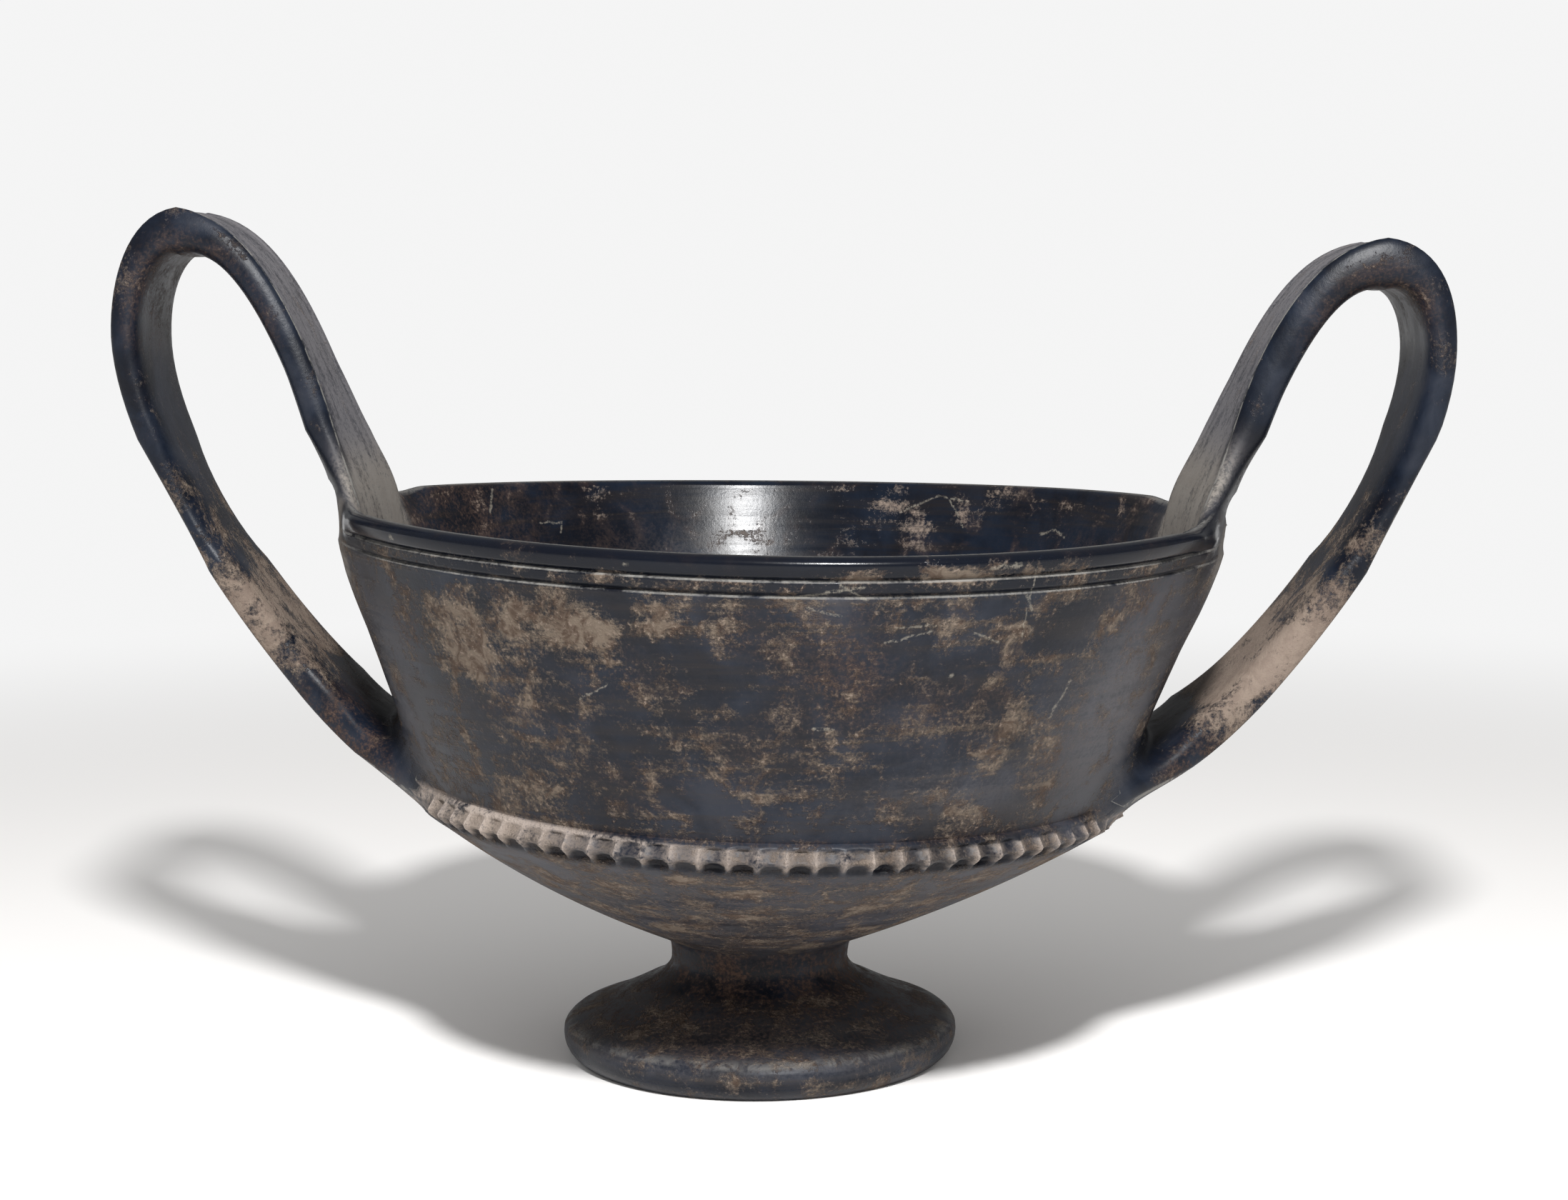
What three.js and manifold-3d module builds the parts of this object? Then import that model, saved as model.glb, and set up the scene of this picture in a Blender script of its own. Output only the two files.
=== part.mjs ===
// A black clay drinking cup of the kind called a kantharos: a deep bowl with a
// notched edge low on its wall, a short stem on a round foot, and two tall strap
// handles that rise from the rim, turn over and come down to the notched edge.
// It is thrown, notched, handled and fired as one piece, so it is one solid.
// Millimetres, +Z up, standing on its foot, with the handles along X.

import * as THREE from 'three';
import { mergeVertices } from 'three/addons/utils/BufferGeometryUtils.js';
import Module from 'manifold-3d';

const wasm = await Module();
wasm.setup();

// Driving dimensions of the bowl
const rimRadius = 67.5;
const rimHeight = 83.6;
const lipThickness = 3.4;
const lipRounding = 1.3;
const wallThickness = 3.6;
const wallBulge = 1.7;
const wallSteps = 3;
const turns = 48;
const stepsInCurve = 3;

// The inside: a nearly straight wall, a rounded turn and a shallow floor
const innerWallHeights = [64, 46.5];
const innerWallTuck = 0.3;
const innerTurn = { radius: 47.4, height: 40.6 };
const floorEdge = { radius: 40, height: 35.9 };
const floorHalfRadius = 20;
const floorHeight = 23.4;
const roomGrowth = 0.5;
const roomHeight = 60;

// Two lines cut round the wall just under the lip
const lineDrops = [3.0, 5.1];
const lineWidth = 0.9;
const lineDepth = 0.5;

// The notched edge where the wall turns in to the underside
const edgeTopRadius = 53.3;
const edgeTopHeight = 42.6;
const edgeRadius = 54.6;
const edgeHeight = 40.3;
const edgeRounding = 0.3;
const wallFootRadius = 52.7;
const wallFootHeight = 43.1;
const notchCount = 86;
const notchDepth = 1.2;
const notchLength = 4.4;
const notchDrop = 1.6;
const notchReach = 2;
const notchOpening = 1.1;
const notchClearance = 0.1;

// Stem and foot
const stemTopRadius = 14.4;
const stemTopHeight = 18.2;
const stemRadius = 13.5;
const stemHeight = 14.4;
const footRadius = 30.1;
const restOuterRadius = 28.3;
const restInnerRadius = 24.4;
const hollowHeight = 12.4;
const hollowTop = { radius: 4.5, height: 12.0 };
const hollowBend = { radius: 9.5, height: 8.6 };
const hollowFoot = { radius: 22.4, height: 3.4 };
const footBulge = { radius: 30.4, height: 1.6 };
const footWaistHeight = 4.2;
const footShoulder = { radius: 28.9, height: 5.6 };
const footDome = { radius: 24.1, height: 7.3 };
const footNeck = { radius: 18.6, height: 10.2 };
const neckBend = { radius: 14.0, height: 12.0 };
const stemBendHeight = 16.6;
const bellyBend = { radius: 37.5, height: 27.6 };

// The cup was lifted off the wheel a little askew
const footShift = -3.8;
const edgeTilt = -0.034;
const rimTilt = -0.0196;
const rimBackTilt = -0.002;
const rimTwist = 0.003;
const rimSaddle = 0.0104;
const rimOval = -0.0102;

// What the two strap handles share
const strapWidth = 24;
const ridgeInset = 1.7;
const ridgeWidth = 1.4;
const ridgeHeight = 0.4;
const grooveDepth = 0.4;
const farRelief = 0.2;
const grooveInset = 0.8;
const grooveRun = 1.2;
const edgeRoundness = 0.64;
const ridgeTopShare = 0.6;
const underRounding = 2.4;
const underCrown = 0.15;
const footFlare = { near: 11, far: 11, height: 5 };
const bendHeight = 14;
const flareStartDrop = { rim: 1, foot: 2 };
const reliefRise = 6;
const reliefFade = [60, 84];
const sideThinning = 0.45;
const rootWedge = { share: 0.8, height: 26, from: -0.6 };
const tongue = {
  reach: 58.6,
  height: 66,
  bendReach: 62.6,
  bendHeight: 73,
  after: 5,
  width: 0.3,
  thickness: 1.6,
};
const strapEndThickness = 4;
const fallNarrowing = 0.07;

// Below each handle the clay is spread down the outside of the wall
const spreadClay = { thickness: 0.7, start: 60, full: 80.5, half: 18, fade: 3 };

// Each handle: the middle of its strap and how thick it is on the way round
const leftHandle = {
  side: -1,
  rim: { reach: 63.5, height: 85.2, slope: 1.24 },
  rise: 22.6,
  top: { reach: 88.0, height: 125.3, before: 11, after: 4.6 },
  topThinning: 2.4,
  outer: { reach: 96.1, height: 110, before: 8.8, after: 19.4 },
  foot: { reach: 57.2, height: 46.2, slope: 0.66, before: 19.5, sink: 6.5 },
  flare: { near: 17, far: 9, height: 2.6 },
  thickness: { rim: 7.0, rise: 4.4, top: 7.0, outer: 4.0, fall: 3.5, foot: 6.2 },
};

const rightHandle = {
  side: 1,
  rim: { reach: 63.5, height: 83.0, slope: 1.2 },
  rise: 22.6,
  top: { reach: 88.4, height: 119.6, before: 10.4, after: 5.2 },
  topThinning: 1.6,
  outer: { reach: 96.5, height: 107, before: 7.4, after: 20 },
  foot: { reach: 57.2, height: 46.2, slope: 0.6, before: 17.6, sink: 9 },
  flare: { near: 22, far: 9, height: 2.6 },
  thickness: { rim: 7.6, rise: 5.7, top: 7.5, outer: 4.2, fall: 4.4, foot: 6.2 },
};

// A closed geometry as a solid, with its faces turned outwards
function solidOf(geometry) {
  const bare = geometry.clone();
  bare.deleteAttribute('normal');
  bare.deleteAttribute('uv');
  const merged = mergeVertices(bare, 1e-4);
  const corners = merged.index.array;
  const kept = [];
  for (let i = 0; i < corners.length; i += 3) {
    const [a, b, c] = corners.slice(i, i + 3);
    if (a !== b && b !== c && c !== a) kept.push(a, b, c);
  }
  return new wasm.Manifold(new wasm.Mesh({
    numProp: 3,
    vertProperties: new Float32Array(merged.attributes.position.array),
    triVerts: new Uint32Array(kept),
  }));
}

function geometryOf(solid) {
  const mesh = solid.getMesh();
  const geometry = new THREE.BufferGeometry();
  geometry.setAttribute('position', new THREE.BufferAttribute(mesh.vertProperties, 3));
  geometry.setIndex(new THREE.BufferAttribute(mesh.triVerts, 1));
  return geometry;
}

// The wall's outer radius at a height between the notched edge and the lip
function wallRadius(height) {
  const t = (height - wallFootHeight) / (rimHeight - wallFootHeight);
  const straight = THREE.MathUtils.lerp(wallFootRadius, rimRadius, t);
  return straight + 2 * wallBulge * t * (1 - t);
}

// Half of the upright section, from the hollow under the foot round to the floor
function sectionPath() {
  const path = new THREE.Path();
  const bend = (by, radius, height) => path.quadraticCurveTo(by.radius, by.height, radius, height);
  path.moveTo(0, hollowHeight);
  path.lineTo(hollowTop.radius, hollowTop.height);
  bend(hollowBend, hollowFoot.radius, hollowFoot.height);
  path.lineTo(restInnerRadius, 0);
  path.lineTo(restOuterRadius, 0);
  bend(footBulge, footRadius, footWaistHeight);
  path.lineTo(footShoulder.radius, footShoulder.height);
  bend(footDome, footNeck.radius, footNeck.height);
  bend(neckBend, stemRadius, stemHeight);
  bend({ radius: stemRadius, height: stemBendHeight }, stemTopRadius, stemTopHeight);
  bend(bellyBend, edgeRadius - edgeRounding, edgeHeight - edgeRounding);
  path.lineTo(edgeRadius, edgeHeight + edgeRounding);
  path.lineTo(edgeTopRadius, edgeTopHeight);
  path.lineTo(wallFootRadius, wallFootHeight);
  const cuts = lineDrops.map((drop) => rimHeight - drop).reverse();
  for (let i = 1; i <= wallSteps; i += 1) {
    const height = THREE.MathUtils.lerp(wallFootHeight, cuts[0] - lineWidth / 2, i / wallSteps);
    path.lineTo(wallRadius(height), height);
  }
  cuts.forEach((height, i) => {
    if (i > 0) path.lineTo(wallRadius(height - lineWidth / 2), height - lineWidth / 2);
    path.lineTo(wallRadius(height) - lineDepth, height);
    path.lineTo(wallRadius(height + lineWidth / 2), height + lineWidth / 2);
  });
  const lipInside = rimRadius - lipThickness;
  path.lineTo(rimRadius, rimHeight - lipRounding);
  bend({ radius: rimRadius, height: rimHeight }, rimRadius - lipThickness / 2, rimHeight);
  bend({ radius: lipInside, height: rimHeight }, lipInside, rimHeight - lipRounding);
  const [upper, lower] = innerWallHeights;
  path.lineTo(wallRadius(upper) - wallThickness, upper);
  path.lineTo(wallRadius(lower) - wallThickness - innerWallTuck, lower);
  bend(innerTurn, floorEdge.radius, floorEdge.height);
  bend({ radius: floorHalfRadius, height: floorHeight }, 0, floorHeight);
  return path;
}

// One upright gouge, round at the back, that bites into the edge from outside
function notchCutter(index) {
  const pitch = (2 * Math.PI * edgeRadius) / notchCount;
  const half = pitch / 2;
  const outline = new THREE.Shape();
  outline.moveTo(-half, 0);
  outline.quadraticCurveTo(0, -2 * notchDepth, half, 0);
  outline.lineTo(half * notchOpening, notchReach);
  outline.lineTo(-half * notchOpening, notchReach);
  const gouge = new THREE.ExtrudeGeometry(outline, {
    depth: notchLength,
    bevelEnabled: false,
    curveSegments: stepsInCurve,
  });
  gouge.translate(0, edgeRadius + notchClearance, edgeHeight - notchDrop);
  gouge.rotateZ((2 * Math.PI * (index + 0.5)) / notchCount);
  return gouge;
}

// How far the outside of the wall is built out under the handles
function padding(radius, y, z) {
  const { thickness, start, full, half, fade } = spreadClay;
  if (radius < wallRadius(z) - wallThickness / 2) return 0;
  const beside = THREE.MathUtils.smoothstep(Math.abs(y), half - fade, half + fade);
  const rising = THREE.MathUtils.clamp((z - start) / (full - start), 0, 1);
  const ending = THREE.MathUtils.clamp((rimHeight - z) / (rimHeight - full), 0, 1);
  return thickness * (1 - beside) * rising * ending;
}

// Lean, tilt and slight oval of the hand-made bowl; the foot keeps flat
function skew(geometry) {
  const position = geometry.attributes.position;
  for (let i = 0; i < position.count; i += 1) {
    const x = position.getX(i);
    const y = position.getY(i);
    const z = position.getZ(i);
    const radius = Math.hypot(x, y);
    const turn = Math.atan2(y, x);
    const up = THREE.MathUtils.clamp((z - stemHeight) / (rimHeight - stemHeight), 0, 1);
    const low = THREE.MathUtils.clamp((z - stemHeight) / (edgeHeight - stemHeight), 0, 1);
    const high = THREE.MathUtils.clamp((z - edgeHeight) / (rimHeight - edgeHeight), 0, 1);
    const tilt = low * THREE.MathUtils.lerp(edgeTilt, rimTilt, high);
    const round = radius * (1 + rimOval * up * Math.cos(2 * turn)) + padding(radius, y, z);
    const saddle = rimSaddle * Math.cos(2 * turn) + rimTwist * Math.sin(2 * turn);
    const wave = saddle + rimBackTilt * Math.sin(turn);
    const lift = radius * (tilt * Math.cos(turn) + wave * high);
    position.setXYZ(i, round * Math.cos(turn) + footShift * (1 - up), round * Math.sin(turn), z + lift);
  }
  return geometry;
}

// The room inside the bowl, a little into its wall, which keeps the straps out
function makeRoom() {
  const [, lower] = innerWallHeights;
  const path = new THREE.Path();
  path.moveTo(0, floorHeight - roomGrowth);
  path.quadraticCurveTo(
    floorHalfRadius, floorHeight - roomGrowth, floorEdge.radius, floorEdge.height - roomGrowth);
  path.quadraticCurveTo(
    innerTurn.radius + roomGrowth, innerTurn.height,
    wallRadius(lower) - wallThickness - innerWallTuck + roomGrowth, lower);
  path.lineTo(wallRadius(roomHeight) - wallThickness + roomGrowth, roomHeight);
  path.lineTo(0, roomHeight);
  return solidOf(skew(geometryOf(turn(path))));
}

function turn(path) {
  const turned = new THREE.LatheGeometry(path.getPoints(stepsInCurve), turns);
  turned.rotateX(Math.PI / 2);
  return solidOf(turned);
}

function makeBowl() {
  let bowl = turn(sectionPath());
  for (let i = 0; i < notchCount; i += 1) {
    bowl = bowl.subtract(solidOf(notchCutter(i)));
  }
  return solidOf(skew(geometryOf(bowl)));
}

// The strap's middle line, out of the wall, over the top and back into the edge
function strapSpans(handle) {
  const at = (reach, height) => new THREE.Vector3(handle.side * reach, 0, height);
  const { rim, top, outer, foot, rise } = handle;
  const rimAt = at(rim.reach, rim.height);
  const topAt = at(top.reach, top.height);
  const outerAt = at(outer.reach, outer.height);
  const footAt = at(foot.reach, foot.height);
  const away = (reach, height, slope, length) =>
    at(reach + length * Math.cos(slope), height + length * Math.sin(slope));
  return [
    {
      curve: new THREE.CubicBezierCurve3(
        at(tongue.reach, tongue.height),
        at(tongue.bendReach, tongue.bendHeight),
        away(rim.reach, rim.height, rim.slope, -tongue.after),
        rimAt),
      steps: 4,
    },
    {
      curve: new THREE.CubicBezierCurve3(
        rimAt, away(rim.reach, rim.height, rim.slope, rise), at(top.reach - top.before, top.height), topAt),
      steps: 12,
    },
    {
      curve: new THREE.CubicBezierCurve3(
        topAt, at(top.reach + top.after, top.height), at(outer.reach, outer.height + outer.before), outerAt),
      steps: 6,
    },
    {
      curve: new THREE.CubicBezierCurve3(
        outerAt,
        at(outer.reach, outer.height - outer.after),
        away(foot.reach, foot.height, foot.slope, foot.before),
        footAt),
      steps: 12,
    },
    {
      curve: new THREE.LineCurve3(footAt, away(foot.reach, foot.height, foot.slope, -foot.sink)),
      steps: 2,
    },
  ];
}

// Sections stand closer together near the rim and near the notched edge
function spread(span, t) {
  if (span === 1) return t ** 1.4;
  if (span === 3) return 1 - (1 - t) ** 1.3;
  return t;
}

function strapThickness(handle, span, t) {
  const { rim, rise, top, outer, fall, foot } = handle.thickness;
  const lerp = THREE.MathUtils.lerp;
  if (span === 0) return lerp(tongue.thickness, rim, t);
  if (span === 1) return lerp(lerp(rim, rise, Math.min(1, 3 * t)), top, t ** 6);
  if (span === 2) return lerp(top, outer, 1 - (1 - t) ** handle.topThinning);
  if (span === 3) return lerp(lerp(outer, fall, Math.min(1, 2 * t)), foot, t ** 2);
  return lerp(foot, strapEndThickness, t);
}

function strapNarrowing(span, t) {
  if (span === 0) return THREE.MathUtils.lerp(tongue.width, 1, t);
  if (span === 3) return 1 - fallNarrowing * 4 * t * (1 - t);
  return 1;
}

// Near the rim the strap's outer face slopes down towards its front edge
function rootThinning(frontness, above) {
  const { share, height, from } = rootWedge;
  const lowDown = 1 - THREE.MathUtils.smoothstep(above, 0, height);
  return 1 - share * lowDown * THREE.MathUtils.smoothstep(frontness, from, 1);
}

// One cross section of the strap as points across it and through it. The outer
// face has a round ridge along its near edge with a groove beside it. The far
// edge has only a trace of them.
function strapOutline(half, thick, relief, side) {
  const face = thick / 2;
  const middle = face - ridgeHeight * relief;
  const groove = half - ridgeInset - ridgeWidth - grooveInset;
  const upper = (share) => [
    [half - 0.5, edgeRoundness * (middle + ridgeHeight * share)],
    [half - ridgeInset, middle + ridgeHeight * share],
    [half - ridgeInset - ridgeWidth, middle + ridgeTopShare * ridgeHeight * share],
    [groove, middle - grooveDepth * share],
    [groove - grooveRun, middle],
  ];
  const under = [
    [half - underRounding, -face],
    [half - 0.5, -edgeRoundness * face],
  ];
  const flip = ([across, through]) => [-across, through];
  const [right, left] = side > 0 ? [farRelief, 1] : [1, farRelief];
  return [
    [half, 0],
    ...upper(right * relief),
    [0, middle],
    ...upper(left * relief).reverse().map(flip),
    [-half, 0],
    ...under.slice().reverse().map(flip),
    [0, -face - underCrown],
    ...under,
  ];
}

function makeHandle(handle) {
  const rings = [];
  strapSpans(handle).forEach(({ curve, steps }, span) => {
    for (let i = span === 0 ? 0 : 1; i <= steps; i += 1) {
      const t = spread(span, i / steps);
      const centre = curve.getPoint(t);
      const along = curve.getTangent(t);
      const outward = new THREE.Vector3(-along.z, 0, along.x).multiplyScalar(handle.side);
      const rising = span < 2;
      const start = rising
        ? handle.rim.height - flareStartDrop.rim
        : handle.foot.height - flareStartDrop.foot;
      const above = Math.max(0, centre.z - start);
      const relief = rising
        ? THREE.MathUtils.smoothstep(above, 0, reliefRise)
        : THREE.MathUtils.smoothstep(centre.z, ...reliefFade);
      const bend = 1 - THREE.MathUtils.smoothstep(above, 0, bendHeight);
      const thick = strapThickness(handle, span, t);
      const flare = rising ? handle.flare : footFlare;
      const spreading = Math.exp(-above / flare.height);
      const narrowing = strapNarrowing(span, t);
      rings.push(strapOutline(strapWidth / 2, thick, relief, handle.side).map(([place, through]) => {
        const extra = spreading * (place * handle.side < 0 ? flare.near : flare.far);
        const across = narrowing * place * (1 + (2 * extra) / strapWidth);
        const beside = THREE.MathUtils.smoothstep(Math.abs(across), strapWidth / 2, strapWidth);
        const frontness = (-2 * place * handle.side) / strapWidth;
        const wedge = rising ? rootThinning(frontness, above) : 1;
        const thin = through > 0 ? wedge * (1 - sideThinning * beside) : 1;
        const radius = rising ? rimRadius : edgeRadius;
        const back = bend * (radius - Math.sqrt(radius ** 2 - across ** 2));
        const point = centre.clone().addScaledVector(outward, through * thin);
        point.x -= handle.side * back;
        point.y = handle.side * across;
        return point;
      }));
    }
  });
  return solidOf(loft(rings));
}

// Rings of points joined by side faces, with a fan of faces over each end
function loft(rings) {
  const count = rings[0].length;
  const points = rings.flat();
  const faces = [];
  for (let r = 0; r + 1 < rings.length; r += 1) {
    for (let i = 0; i < count; i += 1) {
      const a = r * count + i;
      const b = r * count + ((i + 1) % count);
      faces.push(a, b, b + count, a, b + count, a + count);
    }
  }
  const last = (rings.length - 1) * count;
  for (let i = 1; i + 1 < count; i += 1) {
    faces.push(0, i + 1, i, last, last + i, last + i + 1);
  }
  const geometry = new THREE.BufferGeometry().setFromPoints(points);
  geometry.setIndex(faces);
  return geometry;
}

const straps = makeHandle(leftHandle).add(makeHandle(rightHandle)).subtract(makeRoom());
const shape = geometryOf(makeBowl().add(straps));

// The origin is under the middle of the cup, on the surface it stands on
shape.computeBoundingBox();
const { min, max } = shape.boundingBox;
shape.translate(-(min.x + max.x) / 2, -(min.y + max.y) / 2, -min.z);

const clay = new THREE.MeshStandardMaterial({
  name: 'black_clay',
  color: 0x2b2c2f,
  roughness: 0.42,
  metalness: 0,
});
const kantharos = new THREE.Mesh(shape, clay);
kantharos.name = 'kantharos';

const group = new THREE.Group();
group.add(kantharos);

export default group;
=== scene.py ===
# %% [markdown]
# A black clay drinking cup with a notched edge, a short stem and two tall strap
# handles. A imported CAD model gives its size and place. This file rebuilds the
# same cup at a finer grain, with the soft joints, the gouged notches and the
# worn, dusty black surface of the real one, and stands it on a pale table.

import math

import bmesh
import bpy
import numpy as np
from mathutils import Matrix, Vector
from mathutils.bvhtree import BVHTree


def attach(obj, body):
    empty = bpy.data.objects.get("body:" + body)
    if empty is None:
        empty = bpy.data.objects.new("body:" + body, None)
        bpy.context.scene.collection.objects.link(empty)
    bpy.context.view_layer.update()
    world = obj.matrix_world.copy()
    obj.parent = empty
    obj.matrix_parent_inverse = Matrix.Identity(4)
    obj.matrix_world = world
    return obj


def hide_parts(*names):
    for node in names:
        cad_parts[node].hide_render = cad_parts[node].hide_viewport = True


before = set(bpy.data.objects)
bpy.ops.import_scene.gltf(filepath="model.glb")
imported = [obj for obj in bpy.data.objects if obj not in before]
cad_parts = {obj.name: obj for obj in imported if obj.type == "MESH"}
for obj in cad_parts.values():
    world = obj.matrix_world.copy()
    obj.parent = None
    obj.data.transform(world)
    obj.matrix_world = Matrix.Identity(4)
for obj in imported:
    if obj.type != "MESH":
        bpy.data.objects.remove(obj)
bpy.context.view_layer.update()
MM = 0.001

# %% [markdown]
# The camera comes first, because every later choice is judged through it. It
# stands in front and a little above, so that the far wall shows inside the
# bowl. Its place and its long lens were worked out from the ellipses of the
# rim, the notched edge and the foot.

# %% Camera
CAMERA_AT = Vector((8.57, -408.76, 117.80)) * MM
CAMERA_FORWARD = Vector((-0.02075, 0.99288, -0.11733))
CAMERA_UP = Vector((0.00308, 0.11741, 0.99308))
SENSOR_WIDTH = 36.0
LENS = 62.32


def make_camera():
    data = bpy.data.cameras.new("camera")
    data.sensor_width = SENSOR_WIDTH
    data.lens = LENS
    data.clip_start = 0.01
    data.clip_end = 20
    camera = bpy.data.objects.new("camera", data)
    bpy.context.scene.collection.objects.link(camera)
    right = CAMERA_FORWARD.cross(CAMERA_UP).normalized()
    up = right.cross(CAMERA_FORWARD).normalized()
    turned = Matrix((right, up, -CAMERA_FORWARD.normalized())).transposed()
    camera.matrix_world = Matrix.Translation(CAMERA_AT) @ turned.to_4x4()
    bpy.context.scene.camera = camera
    return camera


camera = make_camera()
print("camera height above the table, mm:", round(camera.location.z / MM, 1))

# %% [markdown]
# The bowl was thrown on a wheel, so its shape is one upright section turned
# round an axis. The section is kept as pairs of radius and height in
# millimetres. Straight runs and soft bends are sampled finely where the shape
# turns fast and loosely where it is calm, which spends the faces where they
# are seen.


# %% Lines and bends of a section
def run(start, end, steps):
    t = np.linspace(0, 1, steps + 1)[1:, None]
    return (1 - t) * np.array(start, float) + t * np.array(end, float)


def bend(start, by, end, steps, first=0.0, last=1.0):
    t = np.linspace(first, last, steps + 1)[1:, None]
    start, by, end = (np.array(p, float) for p in (start, by, end))
    return (1 - t) ** 2 * start + 2 * t * (1 - t) * by + t**2 * end


def chain(*parts):
    return np.vstack([np.atleast_2d(p) for p in parts])


print("a bend through its middle:", bend((0, 0), (1, 1), (2, 0), 2)[0].tolist())

# %% [markdown]
# Foot, stem and underside come first. The foot is hollow below and stands on a
# flat ring. Its top swells out of the stem, and a sharp little step marks where
# the stem meets the bowl.

# %% Foot, stem and underside
HOLLOW_TOP = (0, 12.4)
BELLY_START = (14.4, 18.2)
BELLY_BEND = (37.5, 27.6)
BELLY_END = (54.3, 40.0)
BELLY_SHARE = 0.9

foot_section = chain(
    run(HOLLOW_TOP, (4.5, 12.0), 2),
    bend((4.5, 12.0), (9.5, 8.6), (22.4, 3.4), 8),
    run((22.4, 3.4), (24.2, 0.4), 2),
    bend((24.2, 0.4), (24.4, 0), (24.8, 0), 2),
    run((24.8, 0), (27.9, 0), 1),
    bend((27.9, 0), (28.3, 0), (28.6, 0.25), 2),
    bend((28.6, 0.25), (30.5, 1.7), (30.1, 4.2), 6),
    bend((30.1, 4.2), (29.9, 4.9), (28.9, 5.6), 3),
    bend((28.9, 5.6), (24.1, 7.3), (18.6, 10.2), 9),
    bend((18.6, 10.2), (14.0, 12.0), (13.5, 14.4), 7),
    bend((13.5, 14.4), (13.5, 16.6), (14.1, 17.9), 4),
    run((14.1, 17.9), (14.9, 18.25), 1),
    bend(BELLY_START, BELLY_BEND, BELLY_END, 26, first=0.02, last=BELLY_SHARE),
)
print("foot and underside rings:", len(foot_section))

# %% [markdown]
# The wall flares and bulges a little. Two lines are cut round it under the lip.
# The lip is rounded over, and the inside runs down to a shallow floor.

# %% Wall, lines, lip and inside
RIM_RADIUS = 67.5
RIM_HEIGHT = 83.6
LIP_THICKNESS = 3.4
LIP_ROUNDING = 1.3
WALL_THICKNESS = 3.6
INNER_WALL_TUCK = 0.2
INNER_TURN_TOP = 46.5
INNER_TURN_INSET = 3.9
INNER_TURN = (47.4, 40.6)
FLOOR_EDGE = (40, 35.9)
FLOOR_BEND = (20, 23.4)
FLOOR_MIDDLE = (0, 23.4)
WALL_BULGE = 1.7
WALL_FOOT = (52.7, 43.1)
WALL_START = 44.3
LINE_DROPS = (5.1, 3.0)
LINE_DEPTH = 0.5
LINE_PROFILE = ((-0.6, -0.03), (-0.42, 0.0), (-0.26, 0.35), (-0.1, 0.92), (0.1, 0.92),
                (0.26, 0.35), (0.42, 0.0), (0.6, -0.03))


def wall_radius(height):
    t = (height - WALL_FOOT[1]) / (RIM_HEIGHT - WALL_FOOT[1])
    return WALL_FOOT[0] + (RIM_RADIUS - WALL_FOOT[0]) * t + 2 * WALL_BULGE * t * (1 - t)


def wall_run(low, high, steps, inset=0.0):
    return [(wall_radius(h) - inset, h) for h in np.linspace(low, high, steps + 1)[1:]]


def wall_section():
    lowest_line = RIM_HEIGHT - LINE_DROPS[0]
    rows = [*wall_run(WALL_START, lowest_line - 0.8, 25)]
    for drop in LINE_DROPS:
        for across, depth in LINE_PROFILE:
            height = RIM_HEIGHT - drop + across
            rows.append((wall_radius(height) - depth * LINE_DEPTH, height))
    side = RIM_HEIGHT - LIP_ROUNDING
    crest = (RIM_RADIUS - LIP_THICKNESS / 2, RIM_HEIGHT)
    inside = RIM_RADIUS - LIP_THICKNESS
    rows.append((RIM_RADIUS, side))
    return chain(
        rows,
        bend((RIM_RADIUS, side), (RIM_RADIUS, RIM_HEIGHT), crest, 5),
        bend(crest, (inside, RIM_HEIGHT), (inside, side), 5),
        wall_run(side, INNER_TURN_TOP, 24, WALL_THICKNESS - INNER_WALL_TUCK)[2:],
        bend((wall_radius(INNER_TURN_TOP) - INNER_TURN_INSET, INNER_TURN_TOP), INNER_TURN, FLOOR_EDGE, 7),
        bend(FLOOR_EDGE, FLOOR_BEND, FLOOR_MIDDLE, 18)[:-1],
    )


upper_section = wall_section()
print("wall and inside rings:", len(upper_section))

# %% [markdown]
# The notches repeat all the way round, so Geometry Nodes make them. One notch is
# a small grid bent to the edge, with two numbers stored on every point: how
# far the upright scoop cuts in, and how deep the little arched pit at its
# foot is. The tree sets as many copies round the cup as are asked for, pushes
# each one in by its own share, so no two notches are alike, and joins them.

# %% One notch as a small grid
NOTCHES = 86
NOTCH_COLUMNS = 12
COARSE_COLUMNS = 4
EDGE_TOP = (53.3, 42.6)
EDGE = (54.6, 40.6)
SCOOP_TOP = 42.5
SCOOP_FOOT = 38.5
PIT_TOP = 40.2
PIT_FOOT = 38.3
PIT_EDGE = 0.32

band_section = chain(
    bend(BELLY_START, BELLY_BEND, BELLY_END, 9, first=BELLY_SHARE - 0.011, last=1.0),
    run(BELLY_END, EDGE, 2),
    run(EDGE, EDGE_TOP, 7),
    run(EDGE_TOP, WALL_FOOT, 2),
    run(WALL_FOOT, (wall_radius(WALL_START), WALL_START), 3),
)


def smooth(value, low, high):
    t = np.clip((np.asarray(value, float) - low) / (high - low), 0, 1)
    return t * t * (3 - 2 * t)


def scoop_share(across, height):
    rounded = np.clip(1 - across**2, 0, 1) ** 0.8
    return rounded * smooth(height, SCOOP_TOP, SCOOP_TOP - 0.6) * smooth(height, SCOOP_FOOT, SCOOP_FOOT + 1.2)


def pit_share(across, height):
    arch = PIT_TOP - 1.0 * np.abs(across) ** 2.4
    side = smooth(np.abs(across), 0.9, 0.66)
    top = smooth(height, arch + PIT_EDGE / 2, arch - PIT_EDGE / 2)
    return side * top * smooth(height, PIT_FOOT, PIT_FOOT + 1.1)


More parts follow.
